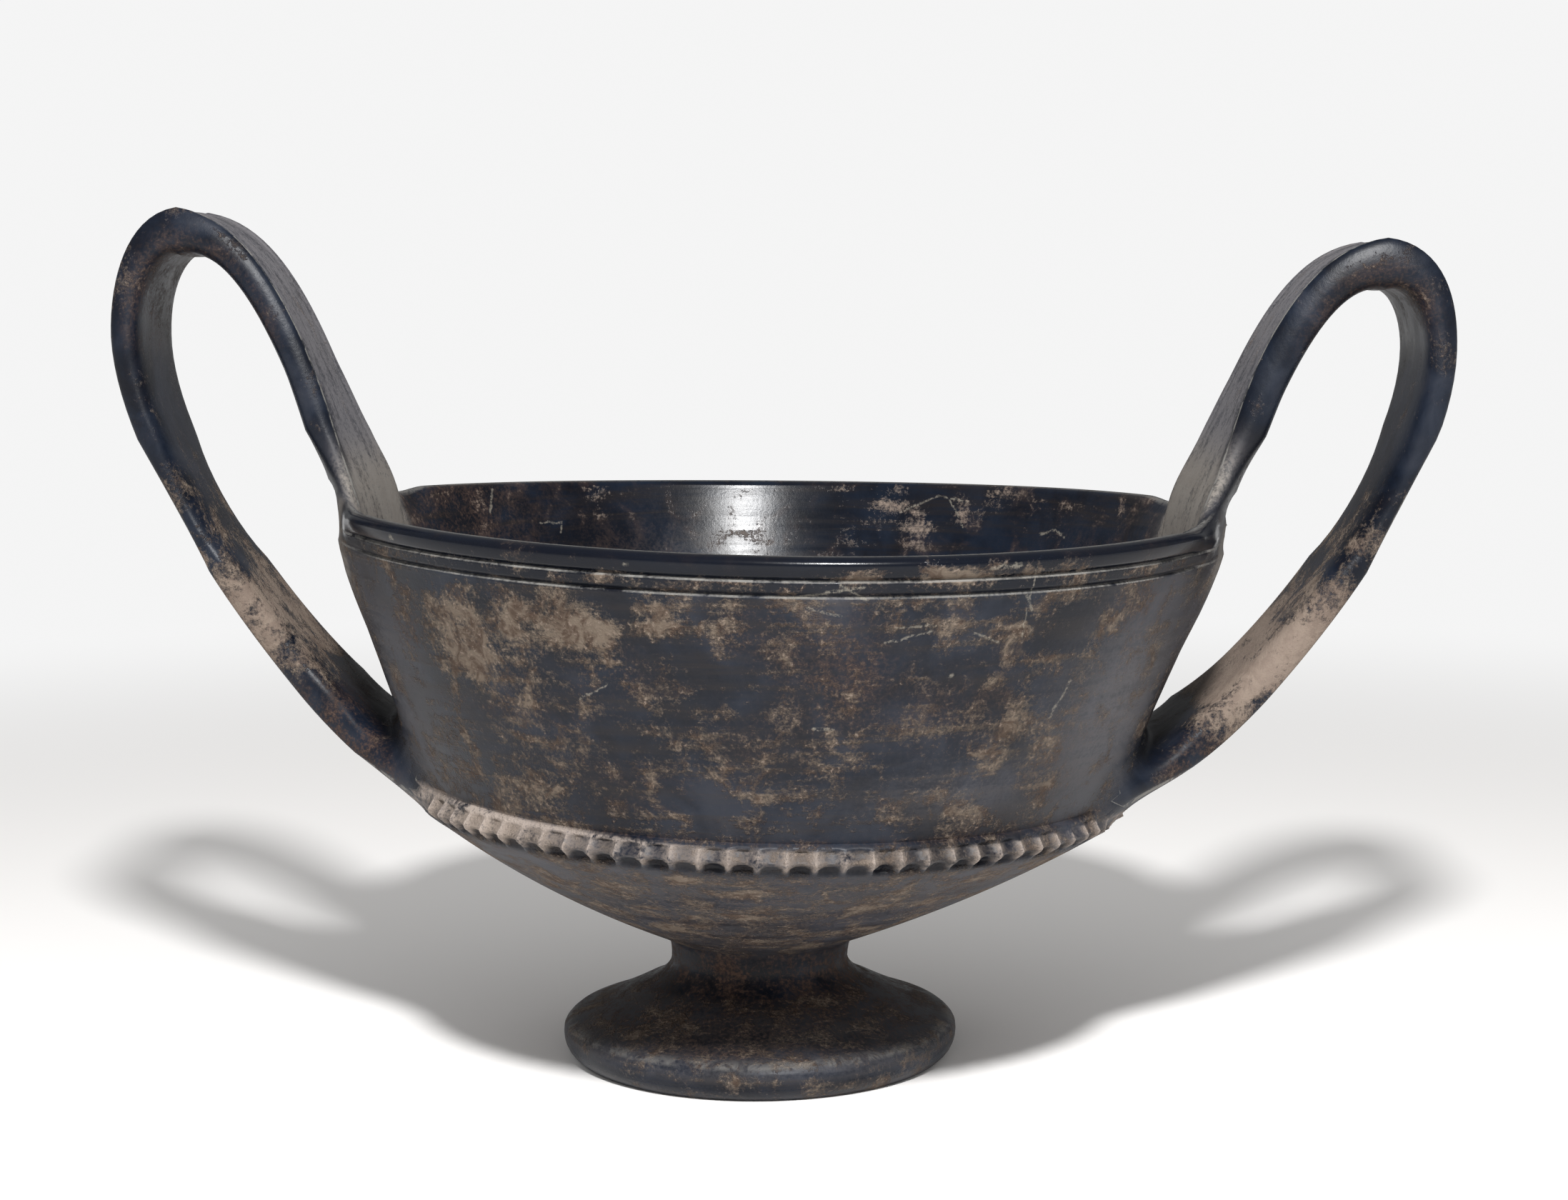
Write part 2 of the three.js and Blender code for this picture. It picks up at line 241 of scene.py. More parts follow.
def mesh_from(name, points, faces, **numbers):
    mesh = bpy.data.meshes.new(name)
    mesh.from_pydata([tuple(p) for p in np.asarray(points, float) * MM], [], faces)
    for key, values in numbers.items():
        layer = mesh.attributes.new(key, "FLOAT", "POINT")
        layer.data.foreach_set("value", np.asarray(values, np.float32))
    mesh.update()
    return mesh


def faced_out(mesh):
    shell = bmesh.new()
    shell.from_mesh(mesh)
    bmesh.ops.recalc_face_normals(shell, faces=shell.faces)
    shell.to_mesh(mesh)
    shell.free()
    return mesh


def object_from(name, mesh):
    piece = bpy.data.objects.new(name, mesh)
    bpy.context.scene.collection.objects.link(piece)
    return piece


def one_notch():
    pitch = 2 * math.pi / NOTCHES
    across = np.linspace(-1, 1, NOTCH_COLUMNS + 1)
    rows = len(band_section)
    u, row = np.meshgrid(across, np.arange(rows))
    radius, height = band_section[row.ravel(), 0], band_section[row.ravel(), 1]
    turn = u.ravel() * pitch / 2
    points = np.stack([radius * np.cos(turn), radius * np.sin(turn), height], 1)
    wide = NOTCH_COLUMNS + 1
    faces = [(r * wide + c, r * wide + c + 1, (r + 1) * wide + c + 1, (r + 1) * wide + c)
             for r in range(rows - 1) for c in range(NOTCH_COLUMNS)]
    scoop = scoop_share(u.ravel(), height)
    pit = pit_share(u.ravel(), height)
    return mesh_from("one_notch", points, faces, scoop=scoop, pit=pit)


notch = object_from("notch", one_notch())
print("faces in one notch:", len(notch.data.polygons))

# %% Geometry Nodes that set the notches round the edge
SCOOP_DEPTH = 0.75
PIT_DEPTH = 0.75
UNEVENNESS = 0.35
NOTCH_SEED = 7


def new_input(tree, name, kind, value):
    socket = tree.interface.new_socket(name, in_out="INPUT", socket_type=kind)
    socket.default_value = value
    return socket


def add(tree, kind, given=None, **settings):
    made = tree.nodes.new(kind)
    for key, value in settings.items():
        setattr(made, key, value)
    for key, value in (given or {}).items():
        if isinstance(value, bpy.types.NodeSocket):
            tree.links.new(value, made.inputs[key])
        else:
            made.inputs[key].default_value = value
    return made


def calc(tree, what, *values, clamp=False):
    made = add(tree, "ShaderNodeMath", dict(enumerate(values)), operation=what, use_clamp=clamp)
    return made.outputs[0]


def times(tree, first, second, clamp=False):
    return calc(tree, "MULTIPLY", first, second, clamp=clamp)


def most(tree, first, second):
    return calc(tree, "MAXIMUM", first, second)


def opposite(tree, value):
    return calc(tree, "SUBTRACT", 1.0, value)


def centred(tree, value):
    return calc(tree, "SUBTRACT", value, 0.5)


def shared(tree, first, share, second):
    return calc(tree, "MULTIPLY_ADD", first, share, times(tree, second, 1 - share))


def vector_calc(tree, what, *values, out=0):
    made = add(tree, "ShaderNodeVectorMath", dict(enumerate(values)), operation=what)
    return made.outputs[out]


def stored(tree, name):
    return add(tree, "GeometryNodeInputNamedAttribute", {"Name": name}, data_type="FLOAT").outputs[0]


def notch_tree(material):
    tree = bpy.data.node_groups.new("notches round an edge", "GeometryNodeTree")
    tree.interface.new_socket("Notch", in_out="INPUT", socket_type="NodeSocketGeometry")
    new_input(tree, "Count", "NodeSocketInt", NOTCHES)
    new_input(tree, "Scoop depth", "NodeSocketFloat", SCOOP_DEPTH * MM)
    new_input(tree, "Pit depth", "NodeSocketFloat", PIT_DEPTH * MM)
    new_input(tree, "Unevenness", "NodeSocketFloat", UNEVENNESS)
    new_input(tree, "Seed", "NodeSocketInt", NOTCH_SEED)
    tree.interface.new_socket("Geometry", in_out="OUTPUT", socket_type="NodeSocketGeometry")
    given = add(tree, "NodeGroupInput").outputs
    places = add(tree, "GeometryNodePoints", {"Count": given["Count"]})
    index = add(tree, "GeometryNodeInputIndex").outputs[0]
    pitch = calc(tree, "DIVIDE", 2 * math.pi, given["Count"])
    turn = add(tree, "ShaderNodeCombineXYZ", {"Z": times(tree, index, pitch)})
    copies = add(tree, "GeometryNodeInstanceOnPoints",
                 {"Points": places.outputs[0], "Instance": given["Notch"], "Rotation": turn.outputs[0]})
    chance = add(tree, "FunctionNodeRandomValue", {"Seed": given["Seed"]}, data_type="FLOAT")
    chance.inputs[2].default_value = -1.0
    chance.inputs[3].default_value = 1.0
    marked = add(tree, "GeometryNodeStoreNamedAttribute",
                 {"Geometry": copies.outputs[0], "Name": "chance", "Value": chance.outputs[1]},
                 data_type="FLOAT", domain="INSTANCE")
    real = add(tree, "GeometryNodeRealizeInstances", {"Geometry": marked.outputs[0]})
    share = calc(tree, "MULTIPLY_ADD", stored(tree, "chance"), given["Unevenness"], 1.0)
    scoop = times(tree, stored(tree, "scoop"), given["Scoop depth"])
    deep = calc(tree, "MULTIPLY_ADD", stored(tree, "pit"), given["Pit depth"], scoop)
    push = times(tree, times(tree, deep, share), -1.0)
    place = add(tree, "GeometryNodeInputPosition").outputs[0]
    flat = vector_calc(tree, "MULTIPLY", place, (1, 1, 0))
    outward = vector_calc(tree, "NORMALIZE", flat)
    scaled = add(tree, "ShaderNodeVectorMath", {0: outward, "Scale": push}, operation="SCALE")
    moved = add(tree, "GeometryNodeSetPosition", {"Geometry": real.outputs[0], "Offset": scaled.outputs[0]})
    joined = add(tree, "GeometryNodeMergeByDistance", {"Geometry": moved.outputs[0], "Distance": 0.01 * MM})
    coated = add(tree, "GeometryNodeSetMaterial", {"Geometry": joined.outputs[0], "Material": material})
    add(tree, "NodeGroupOutput", {"Geometry": coated.outputs[0]})
    return tree


def baked(piece):
    bpy.context.view_layer.update()
    graph = bpy.context.evaluated_depsgraph_get()
    return bpy.data.meshes.new_from_object(piece.evaluated_get(graph)).copy()


def make_band(material):
    modifier = notch.modifiers.new("notches", "NODES")
    modifier.node_group = notch_tree(material)
    sockets = {s.name: s.identifier for s in modifier.node_group.interface.items_tree if s.in_out == "INPUT"}
    modifier[sockets["Count"]] = NOTCHES
    modifier[sockets["Unevenness"]] = UNEVENNESS
    mesh = baked(notch)
    bpy.data.objects.remove(notch)
    return mesh


clay = bpy.data.materials.new("black_clay")
band_mesh = make_band(clay)
print("notched band points:", len(band_mesh.vertices), "for", NOTCHES, "notches")

# %% [markdown]
# The rest of the bowl is turned with four columns of faces for each notch. A row
# of small faces steps from the coarse columns to the fine ones of the band,
# and the pieces are welded into one closed skin.


# %% Turn the bowl and weld the band in
def ring(radius, height, columns):
    turn = (np.arange(columns) / columns * NOTCHES - 0.5) * 2 * math.pi / NOTCHES
    return np.stack([radius * np.cos(turn), radius * np.sin(turn), np.full(columns, height)], 1)


def step_faces(coarse, fine, upward):
    many = NOTCHES * COARSE_COLUMNS
    faces = []
    for j in range(many):
        a, b = coarse + j, coarse + (j + 1) % many
        f = [fine + (3 * j + k) % (3 * many) for k in range(4)]
        for face in ((a, f[1], f[0]), (a, b, f[2], f[1]), (b, f[3], f[2])):
            faces.append(face if upward else face[::-1])
    return faces


def lathe(section, bottom_tip=None, top_tip=None):
    columns = NOTCHES * COARSE_COLUMNS
    points = [ring(r, h, columns) for r, h in section]
    faces = []
    for row in range(len(section) - 1):
        for j in range(columns):
            a, b = row * columns + j, row * columns + (j + 1) % columns
            faces.append((a, b, b + columns, a + columns))
    count = len(section) * columns
    for tip, start, flip in ((bottom_tip, 0, True), (top_tip, count - columns, False)):
        if tip is None:
            continue
        points.append(np.array([[0, 0, tip[1]]]))
        for j in range(columns):
            a, b = start + j, start + (j + 1) % columns
            faces.append((b, a, count) if flip else (a, b, count))
        count += 1
    return np.vstack(points), faces


def make_bowl():
    columns = NOTCHES * COARSE_COLUMNS
    low_points, low_faces = lathe(foot_section, bottom_tip=HOLLOW_TOP)
    high_points, high_faces = lathe(upper_section, top_tip=FLOOR_MIDDLE)
    fine_low = ring(*band_section[0], columns * 3)
    fine_high = ring(*band_section[-1], columns * 3)
    points = np.vstack([low_points, high_points, fine_low, fine_high])
    high_at = len(low_points)
    low_ring = high_at + len(high_points)
    high_ring = low_ring + len(fine_low)
    faces = low_faces + [tuple(i + high_at for i in f) for f in high_faces]
    faces += step_faces((len(foot_section) - 1) * columns, low_ring, True)
    faces += step_faces(high_at, high_ring, False)
    shell = bmesh.new()
    shell.from_mesh(mesh_from("bowl", points, faces, scoop=np.zeros(len(points)), pit=np.zeros(len(points))))
    shell.from_mesh(band_mesh)
    bmesh.ops.remove_doubles(shell, verts=shell.verts, dist=0.02 * MM)
    bmesh.ops.recalc_face_normals(shell, faces=shell.faces)
    loose = sum(1 for e in shell.edges if not e.is_manifold)
    mesh = bpy.data.meshes.new("bowl")
    shell.to_mesh(mesh)
    shell.free()
    print("bowl points:", len(mesh.vertices), "open edges:", loose)
    return mesh


bowl_mesh = make_bowl()

# %% [markdown]
# A hand-made cup is never quite true. The bowl leans off its foot, the notched
# edge and the rim tip by different amounts, and the rim is slightly oval and
# saddle shaped. The foot stays flat on the table. Under each handle the potter
# spread spare clay down the wall, which fills the two lines and thickens the
# wall a little.

# %% Lean and tilt of the bowl
STEM_HEIGHT = 14.4
EDGE_HEIGHT = 40.3
FOOT_SHIFT = -3.8
EDGE_TILT = -0.034
RIM_TILT = -0.0196
RIM_BACK_TILT = -0.002
RIM_TWIST = 0.003
RIM_SADDLE = 0.0104
RIM_OVAL = -0.0102
SPREAD_CLAY = 0.7
SPREAD_START = 60
SPREAD_FULL = 80.5
SPREAD_HALF = 18
SPREAD_FADE = 3


def under_handle(y):
    return 1 - smooth(np.abs(y), SPREAD_HALF - SPREAD_FADE, SPREAD_HALF + SPREAD_FADE)


def padding(radius, y, z):
    rising = np.clip((z - SPREAD_START) / (SPREAD_FULL - SPREAD_START), 0, 1)
    ending = np.clip((RIM_HEIGHT - z) / (RIM_HEIGHT - SPREAD_FULL), 0, 1)
    outside = radius > wall_radius(z) - WALL_THICKNESS / 2
    return outside * SPREAD_CLAY * under_handle(y) * rising * ending


def lines_filled(points):
    x, y, z = points.T
    radius = np.hypot(x, y)
    cut = np.clip(wall_radius(z) - radius, 0, LINE_DEPTH)
    in_lines = smooth(np.abs(z - RIM_HEIGHT + sum(LINE_DROPS) / 2), 2.2, 1.8)
    grown = 1 + cut * in_lines * under_handle(y) * (radius > 60) / np.maximum(radius, 1)
    return np.stack([x * grown, y * grown, z], 1)


def askew(points):
    x, y, z = np.asarray(points, float).T
    radius, turn = np.hypot(x, y), np.arctan2(y, x)
    up = np.clip((z - STEM_HEIGHT) / (RIM_HEIGHT - STEM_HEIGHT), 0, 1)
    low = np.clip((z - STEM_HEIGHT) / (EDGE_HEIGHT - STEM_HEIGHT), 0, 1)
    high = np.clip((z - EDGE_HEIGHT) / (RIM_HEIGHT - EDGE_HEIGHT), 0, 1)
    tilt = low * (EDGE_TILT + (RIM_TILT - EDGE_TILT) * high)
    rounded = radius * (1 + RIM_OVAL * up * np.cos(2 * turn)) + padding(radius, y, z)
    wave = RIM_SADDLE * np.cos(2 * turn) + RIM_TWIST * np.sin(2 * turn) + RIM_BACK_TILT * np.sin(turn)
    lift = radius * (tilt * np.cos(turn) + wave * high)
    return np.stack([rounded * np.cos(turn) + FOOT_SHIFT * (1 - up), rounded * np.sin(turn), z + lift], 1)


def points_of(mesh):
    flat = np.empty(len(mesh.vertices) * 3, np.float32)
    mesh.vertices.foreach_get("co", flat)
    return flat.reshape(-1, 3).astype(float) / MM


def set_points(mesh, points):
    mesh.vertices.foreach_set("co", (np.asarray(points) * MM).astype(np.float32).ravel())
    mesh.update()


def numbers_of(mesh, name):
    values = np.zeros(len(mesh.vertices), np.float32)
    if name in mesh.attributes:
        mesh.attributes[name].data.foreach_get("value", values)
    return values


true_points = lines_filled(points_of(bowl_mesh))
set_points(bowl_mesh, askew(true_points))
print("rim height left and right, mm:", askew([(-67.5, 0, 83.6), (67.5, 0, 83.6)])[:, 2].round(1).tolist())

# %% [markdown]
# Each handle is one strap of clay, bent up from the rim, over, and down to the
# notched edge. Its middle line is four smooth curves end to end. At every
# step a cross section with two edge ridges and a sunk middle is set across the
# line, and near both ends it spreads to wrap the wall, as a thumb would press it.

# %% Sizes of the two handles
STRAP_HALF = 12.0
LEFT = dict(side=-1, rim=(63.5, 85.2), rim_slope=1.24, rise=22.6, top=(88.0, 125.3), top_before=11,
            top_after=4.6, top_thinning=2.4, outer=(96.1, 110), outer_before=8.8, outer_after=19.4,
            foot=(57.2, 46.2), foot_slope=0.66, foot_before=19.5, sink=6.5, near=17, far=9,
            thick=(7.0, 4.4, 7.0, 4.0, 3.5, 6.2))
RIGHT = dict(side=1, rim=(63.5, 83.0), rim_slope=1.2, rise=22.6, top=(88.4, 119.6), top_before=10.4,
             top_after=5.2, top_thinning=1.6, outer=(96.5, 107), outer_before=7.4, outer_after=20,
             foot=(57.2, 46.2), foot_slope=0.6, foot_before=17.6, sink=9, near=22, far=9,
             thick=(7.6, 5.7, 7.5, 4.2, 4.4, 6.2))
FOOT_FLARE = dict(near=11, far=11, height=5)
RIM_FLARE_HEIGHT = 2.6
TONGUE = ((58.6, 66), (62.6, 73))
TONGUE_REACH = 5
TONGUE_WIDTH = 0.3
TONGUE_THICKNESS = 1.6
STRAP_END_THICKNESS = 4
FALL_NARROWING = 0.07
ROOT_WEDGE = 0.8
ROOT_WEDGE_HEIGHT = 26
SPAN_STEPS = (6, 36, 16, 40, 5)


def away(start, slope, length):
    return (start[0] + length * math.cos(slope), start[1] + length * math.sin(slope))


def strap_spans(h):
    top, outer = h["top"], h["outer"]
    return [
        (TONGUE[0], TONGUE[1], away(h["rim"], h["rim_slope"], -TONGUE_REACH), h["rim"]),
        (h["rim"], away(h["rim"], h["rim_slope"], h["rise"]), (top[0] - h["top_before"], top[1]), top),
        (top, (top[0] + h["top_after"], top[1]), (outer[0], outer[1] + h["outer_before"]), outer),
        (outer, (outer[0], outer[1] - h["outer_after"]), away(h["foot"], h["foot_slope"], h["foot_before"]),
         h["foot"]),
    ]


def on_curve(corners, t):
    a, b, c, d = (np.array(p, float) for p in corners)
    point = (1 - t) ** 3 * a + 3 * (1 - t) ** 2 * t * b + 3 * (1 - t) * t**2 * c + t**3 * d
    slope = (1 - t) ** 2 * (b - a) + 2 * (1 - t) * t * (c - b) + t**2 * (d - c)
    return point, slope / np.linalg.norm(slope)


print("left strap leaves the rim at", [round(v, 1) for v in strap_spans(LEFT)[1][1]])


# %% Thickness and cross section of a strap
RIDGE_HEIGHT = 0.45
GROOVE_DEPTH = 0.5
FAR_RELIEF = 0.2
RIDGE_INSETS = (0.5, 1.0, 1.7, 2.4, 3.1, 3.5, 4.1, 5.1)
EDGE_ROUNDNESS = 0.64
MIDDLE_SINK = 0.4


def mix(a, b, t):
    return a + (b - a) * t


def strap_thickness(h, span, t):
    rim, rise, top, outer, fall, foot = h["thick"]
    if span == 0:
        return mix(TONGUE_THICKNESS, rim, t)
    if span == 1:
        return mix(mix(rim, rise, min(1, 3 * t)), top, t**6)
    if span == 2:
        return mix(top, outer, 1 - (1 - t) ** h["top_thinning"])
    if span == 3:
        return mix(mix(outer, fall, min(1, 2 * t)), foot, t**2)
    return mix(foot, STRAP_END_THICKNESS, t)


def strap_narrowing(span, t):
    if span == 0:
        return mix(TONGUE_WIDTH, 1, t)
    if span == 3:
        return 1 - FALL_NARROWING * 4 * t * (1 - t)
    return 1


def strap_top(half, middle, share):
    ridge, groove = RIDGE_HEIGHT * share, GROOVE_DEPTH * share
    heights = (EDGE_ROUNDNESS * (middle + ridge), middle + 0.9 * ridge, middle + ridge, middle + 0.9 * ridge,
               middle + 0.3 * ridge, middle - groove, middle - groove, middle)
    return [(half - inset, height) for inset, height in zip(RIDGE_INSETS, heights)]


def strap_outline(half, thick, relief, side):
    face = thick / 2
    middle = face - MIDDLE_SINK * relief
    right, left = (FAR_RELIEF, 1) if side > 0 else (1, FAR_RELIEF)
    upper = strap_top(half, middle, right * relief)
    mirrored = [(-x, y) for x, y in strap_top(half, middle, left * relief)[::-1]]
    flat = [(3.5, middle), (0, middle), (-3.5, middle)]
    under = [(half - 2.4, -face), (half - 0.5, -EDGE_ROUNDNESS * face)]
    sunk = [(-4.5, -face - 0.12), (0, -face - 0.15), (4.5, -face - 0.12)]
    return softened(np.array([(half, 0), *upper, *flat, *mirrored, (-half, 0),
                              *[(-x, y) for x, y in under[::-1]], *sunk, *under], float))


def softened(loop):
    after = np.roll(loop, -1, axis=0)
    return np.stack([0.75 * loop + 0.25 * after, 0.25 * loop + 0.75 * after], 1).reshape(-1, 2)


print("points round a strap:", len(strap_outline(STRAP_HALF, 5, 1, 1)))


# %% Bend the straps
FLARE_START_DROP = (1, 2)
RELIEF_RISE = 6
RELIEF_FADE = (60, 84)
BEND_HEIGHT = 14
SIDE_THINNING = 0.45


def strap_stations(h):
    for span, steps in enumerate(SPAN_STEPS):
        for i in range(0 if span == 0 else 1, steps + 1):
            t = i / steps
            if span == 1:
                t = t**1.4
            if span == 3:
                t = 1 - (1 - t) ** 1.3
            if span < 4:
                point, slope = on_curve(strap_spans(h)[span], t)
            else:
                slope = -np.array([math.cos(h["foot_slope"]), math.sin(h["foot_slope"])])
                point = np.array(h["foot"]) + slope * h["sink"] * t
            yield span, t, point, slope


def strap_ring(h, span, t, point, slope):
    rising = span < 2
    start = h["rim"][1] - FLARE_START_DROP[0] if rising else h["foot"][1] - FLARE_START_DROP[1]
    above = max(0.0, point[1] - start)
    relief = float(smooth(above, 0, RELIEF_RISE) if rising else smooth(point[1], *RELIEF_FADE))
    leaning = 1 - float(smooth(above, 0, BEND_HEIGHT))
    near, far = (h["near"], h["far"]) if rising else (FOOT_FLARE["near"], FOOT_FLARE["far"])
    spreading = math.exp(-above / (RIM_FLARE_HEIGHT if rising else FOOT_FLARE["height"]))
    narrow = strap_narrowing(span, t)
    loop = strap_outline(STRAP_HALF, strap_thickness(h, span, t), relief, h["side"])
    place, through = loop[:, 0], loop[:, 1]
    extra = spreading * np.where(place * h["side"] < 0, near, far)
    across = narrow * place * (1 + extra / STRAP_HALF)
    thin = 1 - SIDE_THINNING * smooth(np.abs(across), STRAP_HALF, 2 * STRAP_HALF) * (through > 0)
    if rising:
        towards_front = smooth(-place * h["side"] / STRAP_HALF, -0.6, 1.0)
        low_down = 1 - float(smooth(above, 0, ROOT_WEDGE_HEIGHT))
        thin = thin * (1 - ROOT_WEDGE * low_down * towards_front * (through > 0))
    radius = RIM_RADIUS if rising else EDGE[0]
    back = leaning * (radius - np.sqrt(np.maximum(radius**2 - across**2, 1)))
    reach = point[0] - slope[1] * through * thin
    height = point[1] + slope[0] * through * thin
    ring_points = np.stack([h["side"] * (reach - back), h["side"] * across, height], 1)
    return ring_points, place / STRAP_HALF, through


def make_strap(h):
    rings, where, across, faces_out = [], [], [], []
    length, last = 0.0, None
    for span, t, point, slope in strap_stations(h):
        if last is not None:
            length += float(np.linalg.norm(point - last))
        last = point
        ring_points, u, through = strap_ring(h, span, t, point, slope)
        rings.append(ring_points)
        where.append(np.full(len(u), length))
        across.append(u)
        faces_out.append(np.sign(through))
    count = len(rings[0])
    faces = []
    for r in range(len(rings) - 1):
        for i in range(count):
            a, b = r * count + i, r * count + (i + 1) % count
            faces.append((a, b, b + count, a + count))
    end = (len(rings) - 1) * count
    faces.append(tuple(range(count))[::-1])
    faces.append(tuple(end + i for i in range(count)))
    numbers = dict(along=np.concatenate(where), across=np.concatenate(across),
                   outer=np.concatenate(faces_out))
    return np.vstack(rings), faces, numbers


def make_straps():
    meshes = []
    for h in (LEFT, RIGHT):
        points, faces, numbers = make_strap(h)
        side = np.full(len(points), float(h["side"]))
        meshes.append(mesh_from("strap", points, faces, side=side, **numbers))
    both = bmesh.new()
    for mesh in meshes:
        both.from_mesh(mesh)
    bmesh.ops.recalc_face_normals(both, faces=both.faces)
    mesh = bpy.data.meshes.new("straps")
    both.to_mesh(mesh)
    both.free()
    return mesh


strap_mesh = make_straps()
strap_box = points_of(strap_mesh)
print("strap box, mm:", strap_box.min(0).round(1).tolist(), strap_box.max(0).round(1).tolist())

# %% [markdown]
# Wet clay is smoothed with a finger where a handle meets the bowl, so there is
# no hard crease. Before the two skins are joined, each is swelled a little
# where it comes close to the other. The swelling fades with distance, and the
# two skins then cross at a soft angle.

# %% Swell the skins where they meet
JOINT_SOFTNESS = 3.0


def tree_of(mesh):
    shell = bmesh.new()
    shell.from_mesh(mesh)
    tree = BVHTree.FromBMesh(shell)
    shell.free()
    return tree


def swelling(mesh, other, allowed, reach):
    tree = tree_of(other)
    mesh.update()
    moved = points_of(mesh)
    normals = np.array([v.normal for v in mesh.vertices])
    for i in np.nonzero(allowed > 0)[0]:
        spot = Vector(moved[i] * MM)
        found, normal, _, distance = tree.find_nearest(spot, reach * MM)
        if found is None:
            continue
        outside = (spot - found).dot(normal) > 0
        gap = distance / MM if outside else 0.0
        moved[i] += normals[i] * allowed[i] * reach / 4 * (1 - gap / reach) ** 2
    return moved


def soften_joints():
    true_radius, true_height = np.hypot(*true_points[:, :2].T), true_points[:, 2]
    inside = true_radius < np.array([wall_radius(z) for z in true_height]) - 2.2
    allowed = np.where(inside & (true_height > 20), smooth(true_height, 79, 83), 1.0)
    allowed[true_height < 30] = 0
    bowl_points = swelling(bowl_mesh, strap_mesh, allowed, JOINT_SOFTNESS)
    strap_points = swelling(strap_mesh, bowl_mesh, np.ones(len(strap_mesh.vertices)), JOINT_SOFTNESS)
    set_points(bowl_mesh, bowl_points)
    set_points(strap_mesh, strap_points)


soften_joints()
print("joints softened over", JOINT_SOFTNESS, "mm")

# %% [markdown]
# The ends of the straps would poke into the drinking room, so they are cut off
# there first. Then bowl and straps are joined into one closed skin.


# %% Join bowl and straps into one skin
ROOM_GROWTH = 0.5
ROOM_HEIGHT = 60
ROOM_FLOOR = ((2, 23.4), (8, 23.8), (22, 25.5))


def make_room():
    flat, rise, turned, edge = (np.array(p) - (0, ROOM_GROWTH) for p in (*ROOM_FLOOR, FLOOR_EDGE))
    wall_foot = (wall_radius(INNER_TURN_TOP) - INNER_TURN_INSET + ROOM_GROWTH, INNER_TURN_TOP)
    section = chain(
        run(flat, rise, 1),
        bend(rise, turned, edge, 6),
        bend(edge, (INNER_TURN[0] + ROOM_GROWTH, INNER_TURN[1]), wall_foot, 4),
        [(wall_radius(ROOM_HEIGHT) - WALL_THICKNESS + ROOM_GROWTH, ROOM_HEIGHT)],
    )
    bottom_tip = (0, FLOOR_MIDDLE[1] - ROOM_GROWTH)
    points, faces = lathe(section, bottom_tip=bottom_tip, top_tip=(0, ROOM_HEIGHT))
    return faced_out(mesh_from("room", askew(points), faces))


def combined(base, cutter, how, name):
    target, tool = object_from(name, base), object_from(name + "_tool", cutter)
    modifier = target.modifiers.new(how, "BOOLEAN")
    modifier.operation = how
    modifier.object = tool
    modifier.solver = "MANIFOLD"
    mesh = baked(target)
    bpy.data.objects.remove(target)
    bpy.data.objects.remove(tool)
    return mesh


trimmed = combined(strap_mesh, make_room(), "DIFFERENCE", "straps")
cup_mesh = combined(bowl_mesh, trimmed, "UNION", "cup")
triangles = sum(len(p.vertices) - 2 for p in cup_mesh.polygons)
print("cup points:", len(cup_mesh.vertices), "triangles:", triangles)

# %% [markdown]
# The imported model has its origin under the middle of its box, so the skin is
# slid along to match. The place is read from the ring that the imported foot
# stands on.


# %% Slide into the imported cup's place
def packed_foot_middle():
    low = np.array([v.co[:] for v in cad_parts["kantharos"].data.vertices])
    ring_points = low[low[:, 2] < 1e-5]
    return (ring_points.min(0) + ring_points.max(0)) / 2 / MM


foot_middle = packed_foot_middle()
slide = foot_middle[:2] - np.array([FOOT_SHIFT, 0])
cup_points = points_of(cup_mesh)
cup_points[:, :2] += slide
set_points(cup_mesh, cup_points)
print("slide in x and y, mm:", slide.round(2).tolist())

# %% [markdown]
# A potter wipes a wet joint with a finger until no crease is left. The points
# within a few steps of the seam between bowl and strap are pulled towards the
# middle of their neighbours, more the nearer they are. Before that, spread clay
# beside the roots is tucked in behind the lip's outline. After it, a few spots
# on the near side are smoothed for longer. Last, the skin is made a hair
# smaller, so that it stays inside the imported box.


# %% Wipe the joints smooth
FIT = 0.9995
WIPE_STEPS = 9
WIPE_ROUNDS = 60
PRESSED_SPOTS = ((64.6, -19.0, 82.4), (66.0, -12.5, 82.2), (66.8, -5.0, 82.0), (66.8, 1.0, 82.0),
                 (66.8, 7.0, 82.0))
PRESS_REACH = 5.5
PRESS_ROUNDS = 400
ROOT_LOW, ROOT_HIGH = (75, 80), (95, 87)
ROOT_SIDE = (30, 20)
ROOT_REACH = 57
TUCK_FROM = 19
TUCK_LEVEL = 74
TUCK_DEPTH = 0.2


def pairs_of(mesh):
    pairs = np.empty(len(mesh.edges) * 2, np.int32)
    mesh.edges.foreach_get("vertices", pairs)
    return pairs.reshape(-1, 2)


def eased(values, pairs, rounds):
    values = np.asarray(values, float)
    for _ in range(rounds):
        total = np.zeros_like(values)
        count = np.zeros(len(values))
        for here, there in ((0, 1), (1, 0)):
            np.add.at(total, pairs[:, here], values[pairs[:, there]])
            np.add.at(count, pairs[:, here], 1)
        share = count if values.ndim == 1 else count[:, None]
        values = (values + total / np.maximum(share, 1)) / 2
    return values


def at_roots(points, on_strap):
    beside = np.where(on_strap, 1, smooth(np.abs(points[:, 1]), *ROOT_SIDE))
    tall = smooth(points[:, 2], *ROOT_LOW) * smooth(points[:, 2], *ROOT_HIGH)
    return 0.9 * beside * tall * (np.abs(points[:, 0]) > ROOT_REACH)


